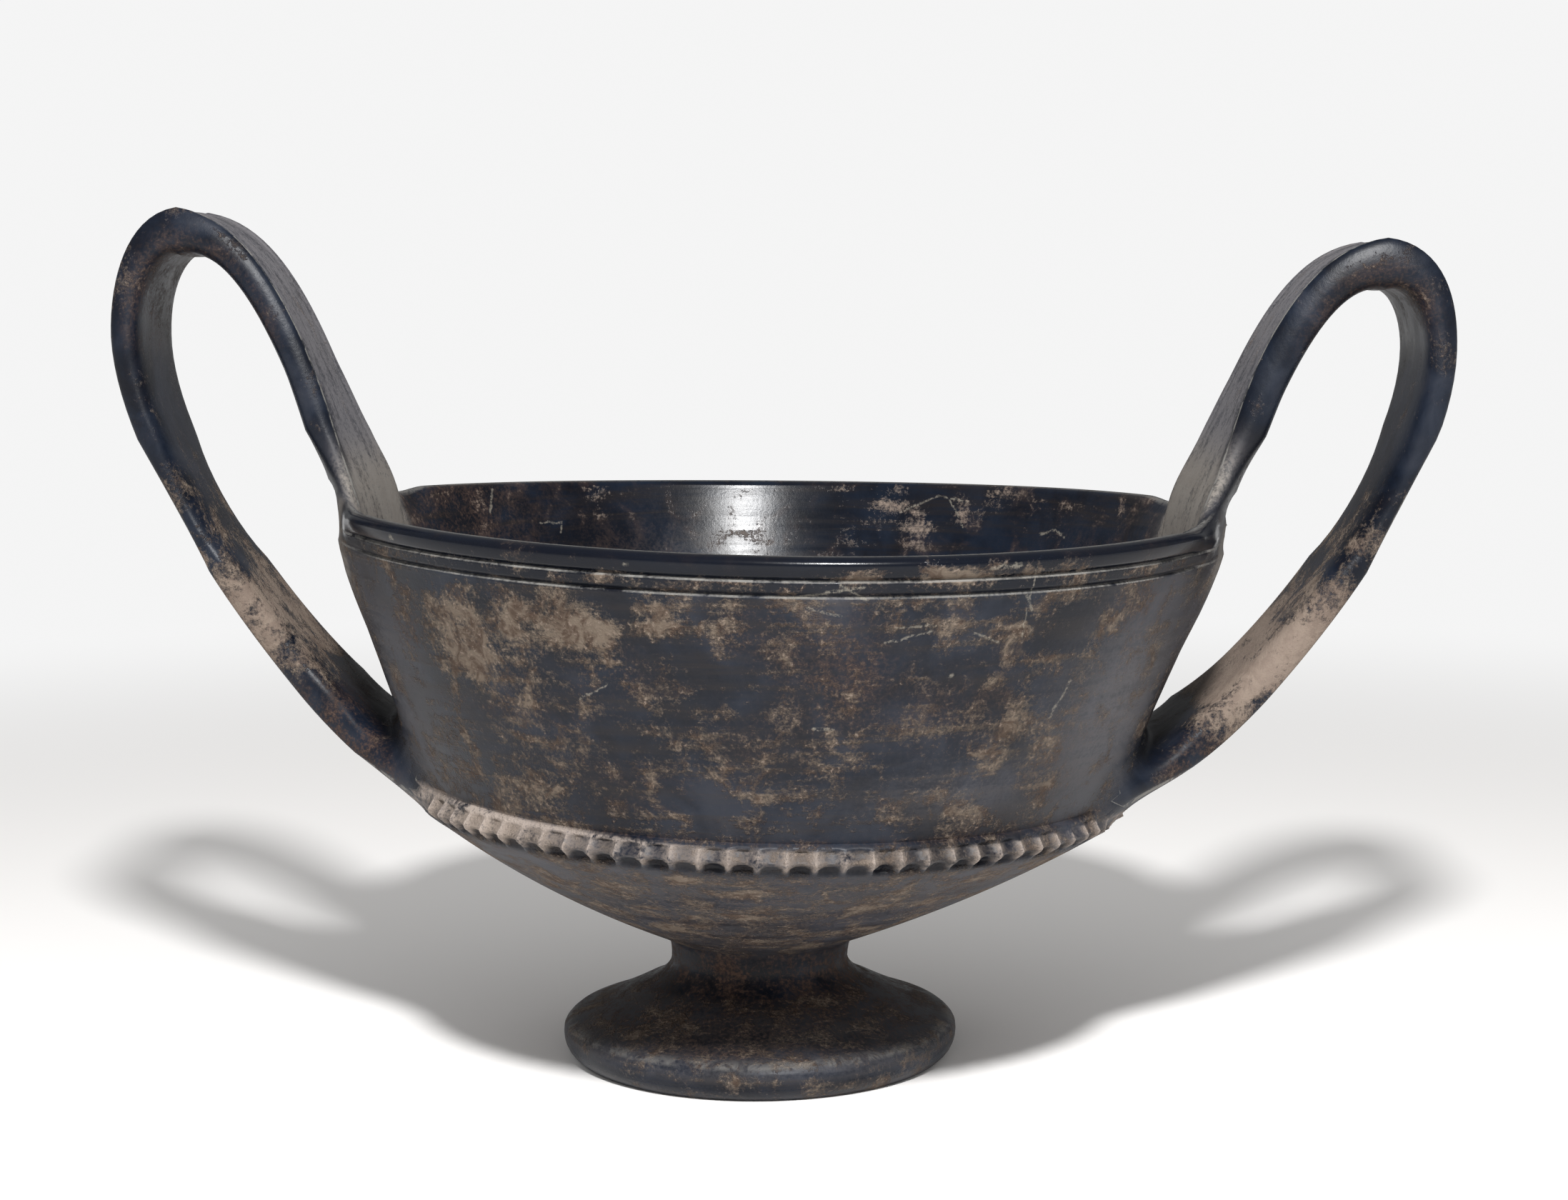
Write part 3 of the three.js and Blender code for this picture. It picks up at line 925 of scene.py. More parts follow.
def tucked_in(points, on_strap):
    across, ahead = points[:, 0] - slide[0], points[:, 1] - slide[1]
    lip = RIM_RADIUS * (1 + RIM_OVAL * np.cos(2 * np.arctan2(ahead, across)))
    tall = (points[:, 2] > TUCK_LEVEL) & (points[:, 2] < RIM_HEIGHT + 1)
    beside = on_strap & (np.abs(ahead) > TUCK_FROM) & tall
    drawn_in = np.where(beside, np.minimum(1, (lip - TUCK_DEPTH) / np.hypot(across, ahead)), 1)
    return np.stack([slide[0] + across * drawn_in, slide[1] + ahead * drawn_in, points[:, 2]], 1)


def wiped(points, pairs, on_strap):
    seam = np.zeros(len(points))
    crossing = on_strap[pairs[:, 0]] != on_strap[pairs[:, 1]]
    seam[pairs[crossing].ravel()] = 1
    near = seam.copy()
    for _ in range(WIPE_STEPS):
        spread = near.copy()
        np.maximum.at(spread, pairs[:, 0], near[pairs[:, 1]] - 1 / WIPE_STEPS)
        np.maximum.at(spread, pairs[:, 1], near[pairs[:, 0]] - 1 / WIPE_STEPS)
        near = spread
    near = np.maximum(near, at_roots(points, on_strap))
    pairs = pairs[(near[pairs] > 0).any(axis=1)]
    for _ in range(WIPE_ROUNDS):
        points = points + near[:, None] * (eased(points, pairs, 1) - points)
    return points


def pressed(points, pairs):
    corners = askew([(side * x, y, z) for side in (-1, 1) for x, y, z in PRESSED_SPOTS])
    corners[:, :2] += slide
    gap = np.min([np.linalg.norm(points - corner, axis=1) for corner in corners], axis=0)
    near = smooth(gap, PRESS_REACH, PRESS_REACH * 0.45)
    pairs = pairs[(near[pairs] > 0).any(axis=1)]
    named, numbered = np.unique(pairs.ravel(), return_inverse=True)
    local, own = points[named], numbered.reshape(-1, 2)
    for _ in range(PRESS_ROUNDS):
        local = local + near[named][:, None] * (eased(local, own, 1) - local)
    points = points.copy()
    points[named] = local
    return points


cup_pairs = pairs_of(cup_mesh)
on_strap = numbers_of(cup_mesh, "side") != 0
cup_points = pressed(wiped(tucked_in(cup_points, on_strap), cup_pairs, on_strap), cup_pairs) * FIT
set_points(cup_mesh, cup_points)
print("points on the straps:", int(on_strap.sum()))

# %% [markdown]
# The cup lay in the ground for a long time, so its black skin is stained in
# places. Where each stain sits is worked out on the cup before it leaned: how
# far round from the front, how high, and whether inside or outside.

# %% Where every point lies
UNDO_ROUNDS = 8
FOOT_TOP = 17.5
BELLY_TOP = 38.6

placed = points_of(cup_mesh)
placed[:, :2] -= slide


def undone(points):
    guess = points.copy()
    for _ in range(UNDO_ROUNDS):
        guess -= askew(guess) - points
    return guess


true_place = undone(placed)
radius = np.hypot(true_place[:, 0], true_place[:, 1])
height = true_place[:, 2]
turn = np.degrees(np.arctan2(true_place[:, 0], -true_place[:, 1]))
inner_rows = upper_section[upper_section[:, 0] < wall_radius(upper_section[:, 1]) - 2]
inner_rows = inner_rows[np.argsort(inner_rows[:, 0])]
above_floor = height > np.interp(radius, *inner_rows.T) - 1.2
inside = above_floor & (radius < wall_radius(height) - 2) & ~on_strap
on_foot = (height < FOOT_TOP) & ~on_strap
on_belly = (height >= FOOT_TOP) & (height < BELLY_TOP) & ~inside & ~on_strap
on_wall = (height >= BELLY_TOP) & ~inside & ~on_strap
print("points inside, outside and on the foot:", int(inside.sum()), int(on_wall.sum()), int(on_foot.sum()))


def apart(angles, middle):
    return (angles - middle + 180) % 360 - 180


def patches(spots, where):
    value = np.zeros(len(turn))
    for middle, level, half_round, half_up, strength in spots:
        sideways = np.radians(apart(turn, middle)) * radius
        spot = strength * np.exp(-((sideways / half_round) ** 2 + ((height - level) / half_up) ** 2))
        value = np.maximum(value, spot)
    return value * where


def near_to(values, middle, half):
    return np.clip(1 - np.abs(values - middle) / half, 0, 1)


def at_random(count, seed, strength, size, low=46, high=80):
    chance = np.random.default_rng(seed)
    spots = []
    for _ in range(count):
        wide = chance.uniform(*size)
        spots.append((chance.uniform(70, 290), chance.uniform(low, high), wide,
                      wide * chance.uniform(0.35, 0.8), chance.uniform(0.5, 1) * strength))
    return spots


# %% [markdown]
# Each stain is one row: degrees round from the front, height, half its size
# round and up in millimetres, and strength. The back, which nobody has seen,
# gets rows from a fixed random seed.

# %% Tan crust, brown stain, painted shade and grey film on the bowl
TAN_SPOTS = [
    (-40, 68.8, 11.5, 9, 1.05), (-33, 73, 9, 5, 0.9), (-23.3, 72, 8.5, 5, 1.05),
    (-19.4, 66.8, 5.5, 4, 0.9), (-13.5, 74.4, 6, 3.2, 0.9), (-34.1, 56.9, 15, 5, 0.55),
    (-53.5, 69, 4.5, 3, 0.4), (-31.6, 48.6, 12.7, 2.6, 0.72), (-18.9, 79.7, 3.8, 1.4, 1.1),
    (-54.1, 45, 6.3, 1.7, 0.7), (-16.4, 44.4, 1.6, 1.1, 0.7), (14.5, 77.3, 5, 2.8, 0.8),
    (20.2, 81, 6.5, 1.7, 1), (4, 76.5, 5, 2.2, 0.5), (37.3, 77.2, 6, 4, 0.6), (34.5, 66.1, 4, 6, 0.7),
    (35.5, 60.5, 6.5, 4.2, 0.62), (27, 55.5, 10, 3.4, 0.66), (10.9, 54.6, 8.3, 2.8, 0.56),
    (-2.6, 73.4, 4, 3, 0.6), (36.2, 44.6, 3.5, 1.4, 0.6), (42, 50, 6, 3, 0.5),
    (-2.2, 65.4, 0.6, 1.1, 0.8), (-32, 67, 26, 13, 0.5), (0, 75.5, 18, 5, 0.46), (7, 65, 11, 7, 0.46),
    (33, 56, 17, 10, 0.5), (18, 54.5, 14, 4, 0.46), (46, 70, 9, 9, 0.48), (-34, 50, 15, 4, 0.55),
    (0, 79.2, 32, 1.6, 0.46), (9.5, 80.9, 4.8, 1.6, 0.8), (-6, 80, 3, 1, 0.6), (31, 81, 5, 1.6, 0.62),
    (-34, 80, 5, 1.2, 0.6), *at_random(26, 11, 0.8, (5, 18)),
]
BROWN_SPOTS = [
    (-2.6, 73.4, 3.7, 2.8, 0.9), (-19.4, 66.8, 4.8, 3.5, 0.8), (-53.5, 69, 6.2, 3.7, 0.6),
    (2.7, 69.6, 3.7, 3.7, 0.6), (9.4, 67.2, 6.5, 8, 0.9), (-0.9, 57.1, 3.7, 3.7, 0.45),
    (51.9, 75.4, 7.3, 3.7, 0.85), (27, 62, 12, 6, 0.4), (-36, 60, 12, 5, 0.4), (45, 52, 7, 4, 0.6),
    (-20, 50, 12, 3, 0.35), *at_random(12, 23, 0.8, (4, 12)),
]
FILM_SPOTS = [
    (56, 60, 14, 16, 0.75), (-64, 58, 10, 20, 0.5), (30, 50, 16, 4, 0.35), (90, 76, 17, 16, 0.9),
    (-90, 76, 17, 16, 0.9), (0, 80.5, 30, 1.5, 0.3), (8, 79.5, 6, 2.2, 0.5),
    *at_random(8, 37, 0.6, (8, 18)),
]
INNER_FILM = [
    (104, 82, 18, 7, 0.9), (-72, 84, 18, 7, 0.9), (160, 76, 9, 2, 0.55), (150, 79, 6, 3, 0.5),
    (130, 79, 9, 3, 0.6), (144, 82, 4, 1.6, 0.5), (-133, 81, 3, 3.5, 0.4), (175, 60, 30, 8, 0.4),
    (60, 50, 20, 12, 0.4), (-20, 60, 25, 12, 0.45), (0, 30, 60, 6, 0.5),
]
INNER_BROWN = [
    (-121.8, 79, 16, 9, 0.75), (-150, 60, 20, 14, 0.5), (120, 62, 20, 12, 0.5), (20, 45, 30, 10, 0.6),
]
INNER_TAN = [
    (159, 76.3, 3.6, 1.6, 0.85), (163, 77.2, 2.4, 1.2, 0.8), (156.5, 80.3, 3, 1.2, 0.75),
    (152, 78.8, 1.6, 2.8, 0.8), (146.4, 82.3, 3.4, 1, 0.8), (133.6, 76.2, 2.6, 0.9, 0.8),
    (172, 82, 1.6, 0.8, 0.8), (163.5, 82.6, 2.8, 0.8, 0.8), (169.5, 74.8, 2.2, 0.9, 0.7),
    (-143.5, 79.5, 1.3, 0.7, 0.8), (-149.5, 82.2, 2.8, 0.8, 0.8), (-128, 80.8, 0.9, 2.6, 0.9),
    (-120, 79, 10, 5, 0.3), (148, 79.5, 1.6, 0.9, 0.9), (142.5, 80.5, 2, 0.8, 0.9),
    (139, 78.5, 1.4, 1, 0.9), (136, 81.5, 2, 0.8, 0.9), (131.5, 78.8, 1.6, 0.9, 0.9),
    (128.5, 81.3, 3, 1.2, 0.9), (125.5, 79.3, 2, 1.2, 0.9), (121, 81.5, 2.4, 1, 0.8),
    (161, 79.6, 2, 0.7, 0.85), (166.5, 78.2, 1.4, 0.8, 0.85),
    *[(a - 110, h - 8, w, v, g * 0.6) for a, h, w, v, g in at_random(14, 83, 0.9, (3, 9), 45, 84)],
]
BELLY_TAN = [
    (-2.5, 34, 8.6, 1.7, 0.75), (-31.3, 34.7, 7.6, 2.2, 0.6), (20, 35.5, 9, 1.4, 0.55),
    (45, 37, 9, 2, 0.6), (-60, 36, 8, 2, 0.5), *at_random(9, 51, 0.7, (6, 12), 24, 37),
]
FOOT_TAN = [
    (-38, 3.6, 4.6, 0.9, 0.62), (19, 5.2, 7, 1, 0.5), (60, 5, 6, 1.2, 0.5),
    *at_random(6, 67, 0.6, (3, 7), 2, 6),
]

speckle = 0.36 * on_wall * (height < 80.4) + 0.54 * on_belly + 0.36 * on_foot * (height < 12) + 0.1 * inside
crust_amount = np.maximum.reduce([patches(TAN_SPOTS, on_wall), patches(BELLY_TAN, on_belly),
                                  patches(FOOT_TAN, on_foot), 0.85 * patches(INNER_TAN, inside), speckle])
# The brown layer also carries painted shade: a dark line where the wall meets the top of the notched edge.
brown_and_shade_amount = np.maximum.reduce([patches(BROWN_SPOTS, on_wall), patches(INNER_BROWN, inside),
                                  0.9 * on_wall * near_to(height, 43.2, 0.6),
                                  0.5 * on_belly, 1.1 * on_foot * smooth(height, 5.4, 6.6)])
film_amount = np.maximum.reduce([patches(FILM_SPOTS, on_wall), patches(INNER_FILM, inside), 0.03 * on_wall,
                                 0.35 * on_belly, 0.25 * on_foot * (height < 11)])
print("share of points under crust:", round(float((crust_amount > 0.5).mean()), 3))

# %% [markdown]
# On a strap the outer face took dust, the under face went brown where fingers
# held it, and both lower ends carry tan earth. Low down, where the outer limbs
# come to the bowl, they darken with painted shade laid in the brown layer. The
# dust thins away from the strap's near edge, so its edge stays blue black.

# %% Stains and painted shade on the straps
across = numbers_of(cup_mesh, "across")
along = numbers_of(cup_mesh, "along")
face_out = (numbers_of(cup_mesh, "outer") > 0) * on_strap
side = np.sign(numbers_of(cup_mesh, "side"))
near_edge = -across * side
reach = np.abs(placed[:, 0])
level = placed[:, 2]
outer_limb = on_strap * (reach > np.interp(level, (46, 60, 84, 130), (56, 66, 82, 92)))
low_end = np.where(side > 0, 1.15 * near_to(level, 61.5, 13) ** 0.5 + 0.5 * near_to(level, 79, 7),
                   0.85 * near_to(level, 69, 11) ** 0.5 + 0.4 * near_to(level, 84, 8)) * outer_limb
# Painted shade: the outer limbs darken towards the bowl low down.
joint_shade = outer_limb * smooth(level, np.where(side > 0, 54, 60), np.where(side > 0, 49, 54))
under_top = on_strap * ~face_out.astype(bool) * smooth(level, 104, 116)
root_spread = (np.abs(placed[:, 1]) < 19.5) * (reach > 54) * (reach < 74) * (level > 60)
root_clay = root_spread * smooth(level, 96, 88) * smooth(level, 68, 77) * ~(on_strap & (face_out == 0))
dusty = np.where(face_out > 0, 1.0, 0.15) * smooth(near_edge, 0.7, 0.55)
film_amount = np.maximum(film_amount, on_strap * dusty)
film_amount = np.maximum(film_amount, 1.2 * root_clay)
brown_and_shade_amount += 0.6 * on_strap * under_top + 0.3 * low_end * ~face_out.astype(bool) + 0.2 * root_clay
brown_and_shade_amount += 0.9 * joint_shade
crust_amount += 0.9 * low_end + on_strap * 0.14 * ~(root_clay > 0)
print("points under the tops of the loops:", int((under_top > 0.5).sum()))

# %% [markdown]
# Hands and shelves wear a cup where it stands out. The notched edge is rubbed
# to cream, and the two lines show grey. A pale line along the lip's crest is a
# painted highlight, and a pale line runs round the upper edge of the foot. The
# pits under the notches and the underside just below the edge get painted shade.

# %% Marks on the notches, lines, lip and edges
scoop = numbers_of(cup_mesh, "scoop")
pit = numbers_of(cup_mesh, "pit")
line_zone = on_wall * (height > 76) * (1 - under_handle(true_place[:, 1]))
band_top = np.interp(apart(turn, 0), (-60, -30, -8, 12, 40), (43.2, 42.9, 42.2, 42.1, 41.8))
band_zone = on_wall * smooth(height, 38.9, 39.6) * smooth(height, band_top + 0.3, band_top - 0.2)
thick_side = near_to(apart(turn, -48), 0, 34)
bare_scoops = 0.5 + 0.3 * smooth(np.abs(apart(turn, 0)), 10, 24)
cream_share = band_zone * np.maximum(0.9 - bare_scoops * scoop, 1.3 * thick_side)
lip_zone = smooth(height, 82.2, 82.9) * (radius > 60) * ~on_strap
away_from_root = 1 - eased(root_clay, cup_pairs, 3)
# Painted highlight: a thin pale line along the crest of the lip, kept away from the handle roots.
painted_lip_highlight = lip_zone * near_to(radius, RIM_RADIUS - LIP_THICKNESS / 2 - 0.3, 0.7) * away_from_root
gloss_zone = np.maximum(on_wall * smooth(height, 79.4, 80.2), on_foot * near_to(height, 2.2, 2.0))
gloss_zone = np.maximum(gloss_zone, 0.9 * inside * smooth(height, 60, 72)) * away_from_root
# A pale line round the upper edge of the foot.
pale_foot_edge = on_foot * near_to(height, 5.3, 0.5) * (radius > 26) * 0.6
# Painted shade in the pits under the notches, where it also stands for bare clay free of crust, and along the
# underside just below the notched edge.
deep_shade = np.maximum(pit, near_to(height, 38.4, 0.7) * ~inside * 0.6)
print("points near the two lines:", int((line_zone > 0).sum()))

# %% Store the marks on the cup
MARKS = {
    "crust": eased(crust_amount, cup_pairs, 2),
    "pale": np.maximum(inside, np.minimum(low_end, 1) * 0.8),
    "painted_lip_highlight": painted_lip_highlight,
    "brown_and_shade": eased(brown_and_shade_amount, cup_pairs, 4),
    "film": eased(film_amount, cup_pairs, 4),
    "strap": eased(on_strap.astype(float), cup_pairs, 3),
    "face_out": face_out,
    "near_edge": near_edge,
    "along": along,
    "cream": cream_share,
    "scoop": scoop,
    "pit": deep_shade,
    "lines": line_zone,
    "gloss": eased(gloss_zone, cup_pairs, 1),
    "root": eased(root_clay, cup_pairs, 4),
    "foot_edge_pale": pale_foot_edge,
    "around": np.radians(np.where(inside, apart(turn, 180), turn)) * radius,
    "level": height,
    "outside": on_wall * smooth(np.cos(np.radians(turn)), -0.2, 0.2),
    "within": inside * smooth(np.cos(np.radians(turn)), 0.2, -0.2),
}


def store_marks(mesh):
    for name in [a.name for a in mesh.attributes if a.domain == "POINT" and a.data_type == "FLOAT"]:
        mesh.attributes.remove(mesh.attributes[name])
    for name, values in MARKS.items():
        layer = mesh.attributes.new(name, "FLOAT", "POINT")
        layer.data.foreach_set("value", np.asarray(values, np.float32))


store_marks(cup_mesh)
print("marks stored:", len(MARKS))

# %% Cup piece
cup = object_from("cup", cup_mesh)
cup.data.materials.clear()
cup.data.materials.append(clay)
for face in cup.data.polygons:
    face.use_smooth = True
    face.material_index = 0
cup.data.set_sharp_from_angle(angle=math.radians(60))
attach(cup, "root")
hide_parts("kantharos")
print("faces in the cup piece:", len(cup.data.polygons))

# %% [markdown]
# The finish is made in layers, as it came about: burnished black clay, a grey
# film of dust, brown stain that also carries painted shade, tan crust, and worn
# edges with painted highlights on top. The broken-up layers are node groups.
# Each takes an amount and gives back masks and heights.


# %% Helpers for shader nodes
def new_group(name, given, made):
    tree = bpy.data.node_groups.new(name, "ShaderNodeTree")
    for label, (kind, value) in given.items():
        socket = tree.interface.new_socket(label, in_out="INPUT", socket_type=kind)
        if value is not None:
            socket.default_value = value
    for label, kind in made.items():
        tree.interface.new_socket(label, in_out="OUTPUT", socket_type=kind)
    return tree, add(tree, "NodeGroupInput").outputs, add(tree, "NodeGroupOutput").inputs


def smooth_step(tree, value, low, high, top=1.0):
    made = add(tree, "ShaderNodeMapRange", {0: value, 1: low, 2: high, 3: 0.0, 4: top},
               interpolation_type="SMOOTHSTEP")
    return made.outputs[0]


def cloud(tree, place, scale, detail=4.0, roughness=0.55, warp=0.0):
    given = {"Vector": place, "Scale": scale, "Detail": detail, "Roughness": roughness, "Distortion": warp}
    return add(tree, "ShaderNodeTexNoise", given).outputs[0]


def blend(tree, share, first, second):
    made = add(tree, "ShaderNodeMix", {0: share, 6: first, 7: second}, data_type="RGBA")
    return made.outputs[2]


def grey_blend(tree, share, first, second):
    made = add(tree, "ShaderNodeMix", {0: share, 2: first, 3: second}, data_type="FLOAT")
    return made.outputs[0]


def colour(red, green, blue):
    linear = [((c / 255 + 0.055) / 1.055) ** 2.4 if c > 10 else c / 255 / 12.92 for c in (red, green, blue)]
    return (*linear, 1.0)


FLOAT, VECTOR = "NodeSocketFloat", "NodeSocketVector"
print("one paint value:", [round(c, 4) for c in colour(63, 66, 73)])

# %% [markdown]
# Crust is dried earth that clings in islands with ragged edges. Coarse and fine
# noise are added to the stored amount, and what rises over a threshold is
# crust. The same numbers give the crust its height and its change of tone.


# %% Crust group
def crust_group():
    tree, given, out = new_group(
        "broken crust",
        {"Place": (VECTOR, None), "Amount": (FLOAT, 0.5), "Streak": (FLOAT, 0.5), "Ragged": (FLOAT, 1.0)},
        {"Mask": FLOAT, "Height": FLOAT, "Tone": FLOAT, "Coarse": FLOAT, "Fine": FLOAT})
    coarse = cloud(tree, given["Place"], 170.0, 4.0, 0.62, 0.6)
    fine = cloud(tree, given["Place"], 1700.0, 3.0, 0.75)
    swing = times(tree, centred(tree, coarse), times(tree, given["Ragged"], 2.2))
    speck = times(tree, centred(tree, fine), times(tree, given["Ragged"], 1.3))
    swept = calc(tree, "MULTIPLY_ADD", centred(tree, given["Streak"]), 1.1, given["Amount"])
    level = calc(tree, "ADD", calc(tree, "ADD", swept, swing), speck)
    mask = smooth_step(tree, level, 0.34, 0.9)
    held = times(tree, mask, smooth_step(tree, given["Amount"], 0.03, 0.2))
    tree.links.new(held, out["Mask"])
    tree.links.new(times(tree, held, calc(tree, "ADD", fine, 0.6)), out["Height"])
    tree.links.new(cloud(tree, given["Place"], 330.0, 3.0, 0.65, 1.0), out["Tone"])
    tree.links.new(coarse, out["Coarse"])
    tree.links.new(fine, out["Fine"])
    return tree


crust = crust_group()
print("nodes in the crust group:", len(crust.nodes))

# %% [markdown]
# Burnishing rubs the damp clay with a smooth stone, round and round. It leaves
# faint streaks that run round the bowl and along the straps, so the noise is
# stretched that way. On the straps the stretching follows the stored places.


# %% Burnish group
def burnish_group():
    tree, given, out = new_group(
        "burnished streaks",
        {"Place": (VECTOR, None), "Strap": (FLOAT, 0.0), "Along": (FLOAT, 0.0), "Across": (FLOAT, 0.0)},
        {"Streak": FLOAT, "Cloud": FLOAT})
    bowl_way = vector_calc(tree, "MULTIPLY", given["Place"], (45.0, 45.0, 620.0))
    strap_way = add(tree, "ShaderNodeCombineXYZ", {
        "X": times(tree, given["Along"], 0.12), "Y": times(tree, given["Across"], 4.0)})
    mixed = add(tree, "ShaderNodeMix", {0: given["Strap"], 4: bowl_way, 5: strap_way.outputs[0]},
                data_type="VECTOR")
    way = mixed.outputs[1]
    tree.links.new(cloud(tree, way, 1.0, 4.0, 0.62, 0.3), out["Streak"])
    tree.links.new(cloud(tree, given["Place"], 75.0, 4.0, 0.62, 0.5), out["Cloud"])
    return tree


burnish = burnish_group()
print("nodes in the burnish group:", len(burnish.nodes))

# %% [markdown]
# Scratches are thin pale lines from one place to another on the wall. The
# group measures how far a point is from the line between two places, in
# millimetres round and up, and fades with that distance.


# %% Scratch group
def scratch_group():
    tree, given, out = new_group(
        "scratch",
        {"Here": (VECTOR, None), "From": (VECTOR, None), "To": (VECTOR, None), "Width": (FLOAT, 0.3)},
        {"Mask": FLOAT})
    reach_to = vector_calc(tree, "SUBTRACT", given["Here"], given["From"])
    line = vector_calc(tree, "SUBTRACT", given["To"], given["From"])
    share = calc(tree, "DIVIDE", vector_calc(tree, "DOT_PRODUCT", reach_to, line, out=1),
                 vector_calc(tree, "DOT_PRODUCT", line, line, out=1), clamp=True)
    nearest = add(tree, "ShaderNodeVectorMath", {0: line, "Scale": share}, operation="SCALE").outputs[0]
    gap = vector_calc(tree, "LENGTH", vector_calc(tree, "SUBTRACT", reach_to, nearest), out=1)
    half = times(tree, given["Width"], 0.3)
    made = add(tree, "ShaderNodeMapRange", {0: gap, 1: given["Width"], 2: half, 3: 0.0, 4: 1.0})
    tree.links.new(made.outputs[0], out["Mask"])
    return tree


scratch = scratch_group()
print("nodes in the scratch group:", len(scratch.nodes))

# %% Scratches seen on the wall and inside
WALL_SCRATCHES = [
    ((15.3, 72), (21.5, 73.4), 0.22), ((16.5, 74.1), (22, 74.3), 0.2), ((44.5, 65.1), (41.5, 60), 0.3),
    ((35, 77.7), (36.2, 75.5), 0.3), ((27.4, 73), (31.2, 71.6), 0.25), ((6.6, 60), (9.2, 59.8), 0.3),
    ((24.3, 67.2), (24.8, 67.2), 0.4), ((-18.2, 81.8), (-18.6, 81.8), 0.4),
    ((-59.8, 81.8), (-60.4, 81.8), 0.5), ((3, 78.2), (12, 79.6), 0.3), ((5, 76.8), (9.5, 75.6), 0.25),
    ((12.5, 77.9), (9, 79.9), 0.25), ((29, 81.9), (33.5, 82), 0.4), ((-25, 62.5), (-21, 65), 0.2),
    ((36, 81.6), (34.8, 72), 0.22),
]
INNER_SCRATCHES = [
    ((56, 82.4), (56.2, 78.9), 0.4), ((45.1, 76.8), (40.7, 76.6), 0.22), ((40.7, 76.6), (41, 74.8), 0.22),
    ((-19.7, 78.6), (-26.5, 81.5), 0.22), ((-26.5, 81.5), (-32, 80.6), 0.22),
    ((-28.5, 81), (-31.5, 76.5), 0.22), ((-47, 76), (-50.5, 77), 0.3), ((-50.5, 77), (-52.5, 75.8), 0.3),
]


def scratches(tree, rows, here):
    total = None
    for start, end, width in rows:
        made = add(tree, "ShaderNodeGroup", {}, node_tree=scratch)
        tree.links.new(here, made.inputs["Here"])
        made.inputs["From"].default_value = (*start, 0)
        made.inputs["To"].default_value = (*end, 0)
        made.inputs["Width"].default_value = width
        mask = made.outputs["Mask"]
        total = mask if total is None else most(tree, total, mask)
    return total


print("scratches:", len(WALL_SCRATCHES) + len(INNER_SCRATCHES))

# %% [markdown]
# The material brings the layers together. Base colour goes from black clay up
# to the palest wear and painted highlights. Roughness follows the same masks,
# because dust and crust are matt and burnished clay shines. The heights go
# through one Bump node.

# %% Colours of the layers
CLAY_DARK = colour(13, 16, 24)
CLAY_COOL = colour(21, 29, 42)
CLAY_WARM = colour(32, 28, 28)
FILM_GREY = colour(104, 102, 105)
ROOT_GREY = colour(128, 123, 117)
BROWN_STAIN_AND_SHADE = colour(82, 64, 54)
DARK_STAIN_AND_SHADE = colour(44, 33, 30)
CRUST_BROWN = colour(76, 62, 52)
CRUST_TAN = colour(110, 98, 86)
CRUST_CREAM = colour(156, 140, 128)
WEAR_AND_HIGHLIGHT_GREY = colour(128, 126, 122)
NOTCH_CREAM = colour(160, 148, 139)
SCRATCH_PALE = colour(146, 140, 128)
print("darkest clay:", [round(c, 4) for c in CLAY_DARK[:3]])


# %% Black clay material
def placed_group(tree, group, **sources):
    made = add(tree, "ShaderNodeGroup", node_tree=group)
    for label, source in sources.items():
        tree.links.new(source, made.inputs[label])
    return made.outputs


def stripe(tree, value, middle, half):
    gap = calc(tree, "ABSOLUTE", calc(tree, "SUBTRACT", value, middle))
    return smooth_step(tree, gap, half, half * 0.4)


def lip_layers(tree, mark, coarse, fine):
    pale_marks = None
    for drop in LINE_DROPS:
        edge = stripe(tree, mark["level"], RIM_HEIGHT - drop - 0.3, 0.26)
        pale_marks = edge if pale_marks is None else most(tree, pale_marks, edge)
    unbroken = smooth_step(tree, shared(tree, fine, 0.3, coarse), 0.36, 0.58, 0.85)
    pale_marks = times(tree, times(tree, pale_marks, unbroken), mark["lines"])
    lower_line = RIM_HEIGHT - LINE_DROPS[0]
    dark = smooth_step(tree, mark["level"], lower_line - 0.5, lower_line + 0.3)
    clear = opposite(tree, smooth_step(tree, fine, 0.6, 0.72, 0.8))
    return pale_marks, times(tree, times(tree, dark, clear), mark["lines"])


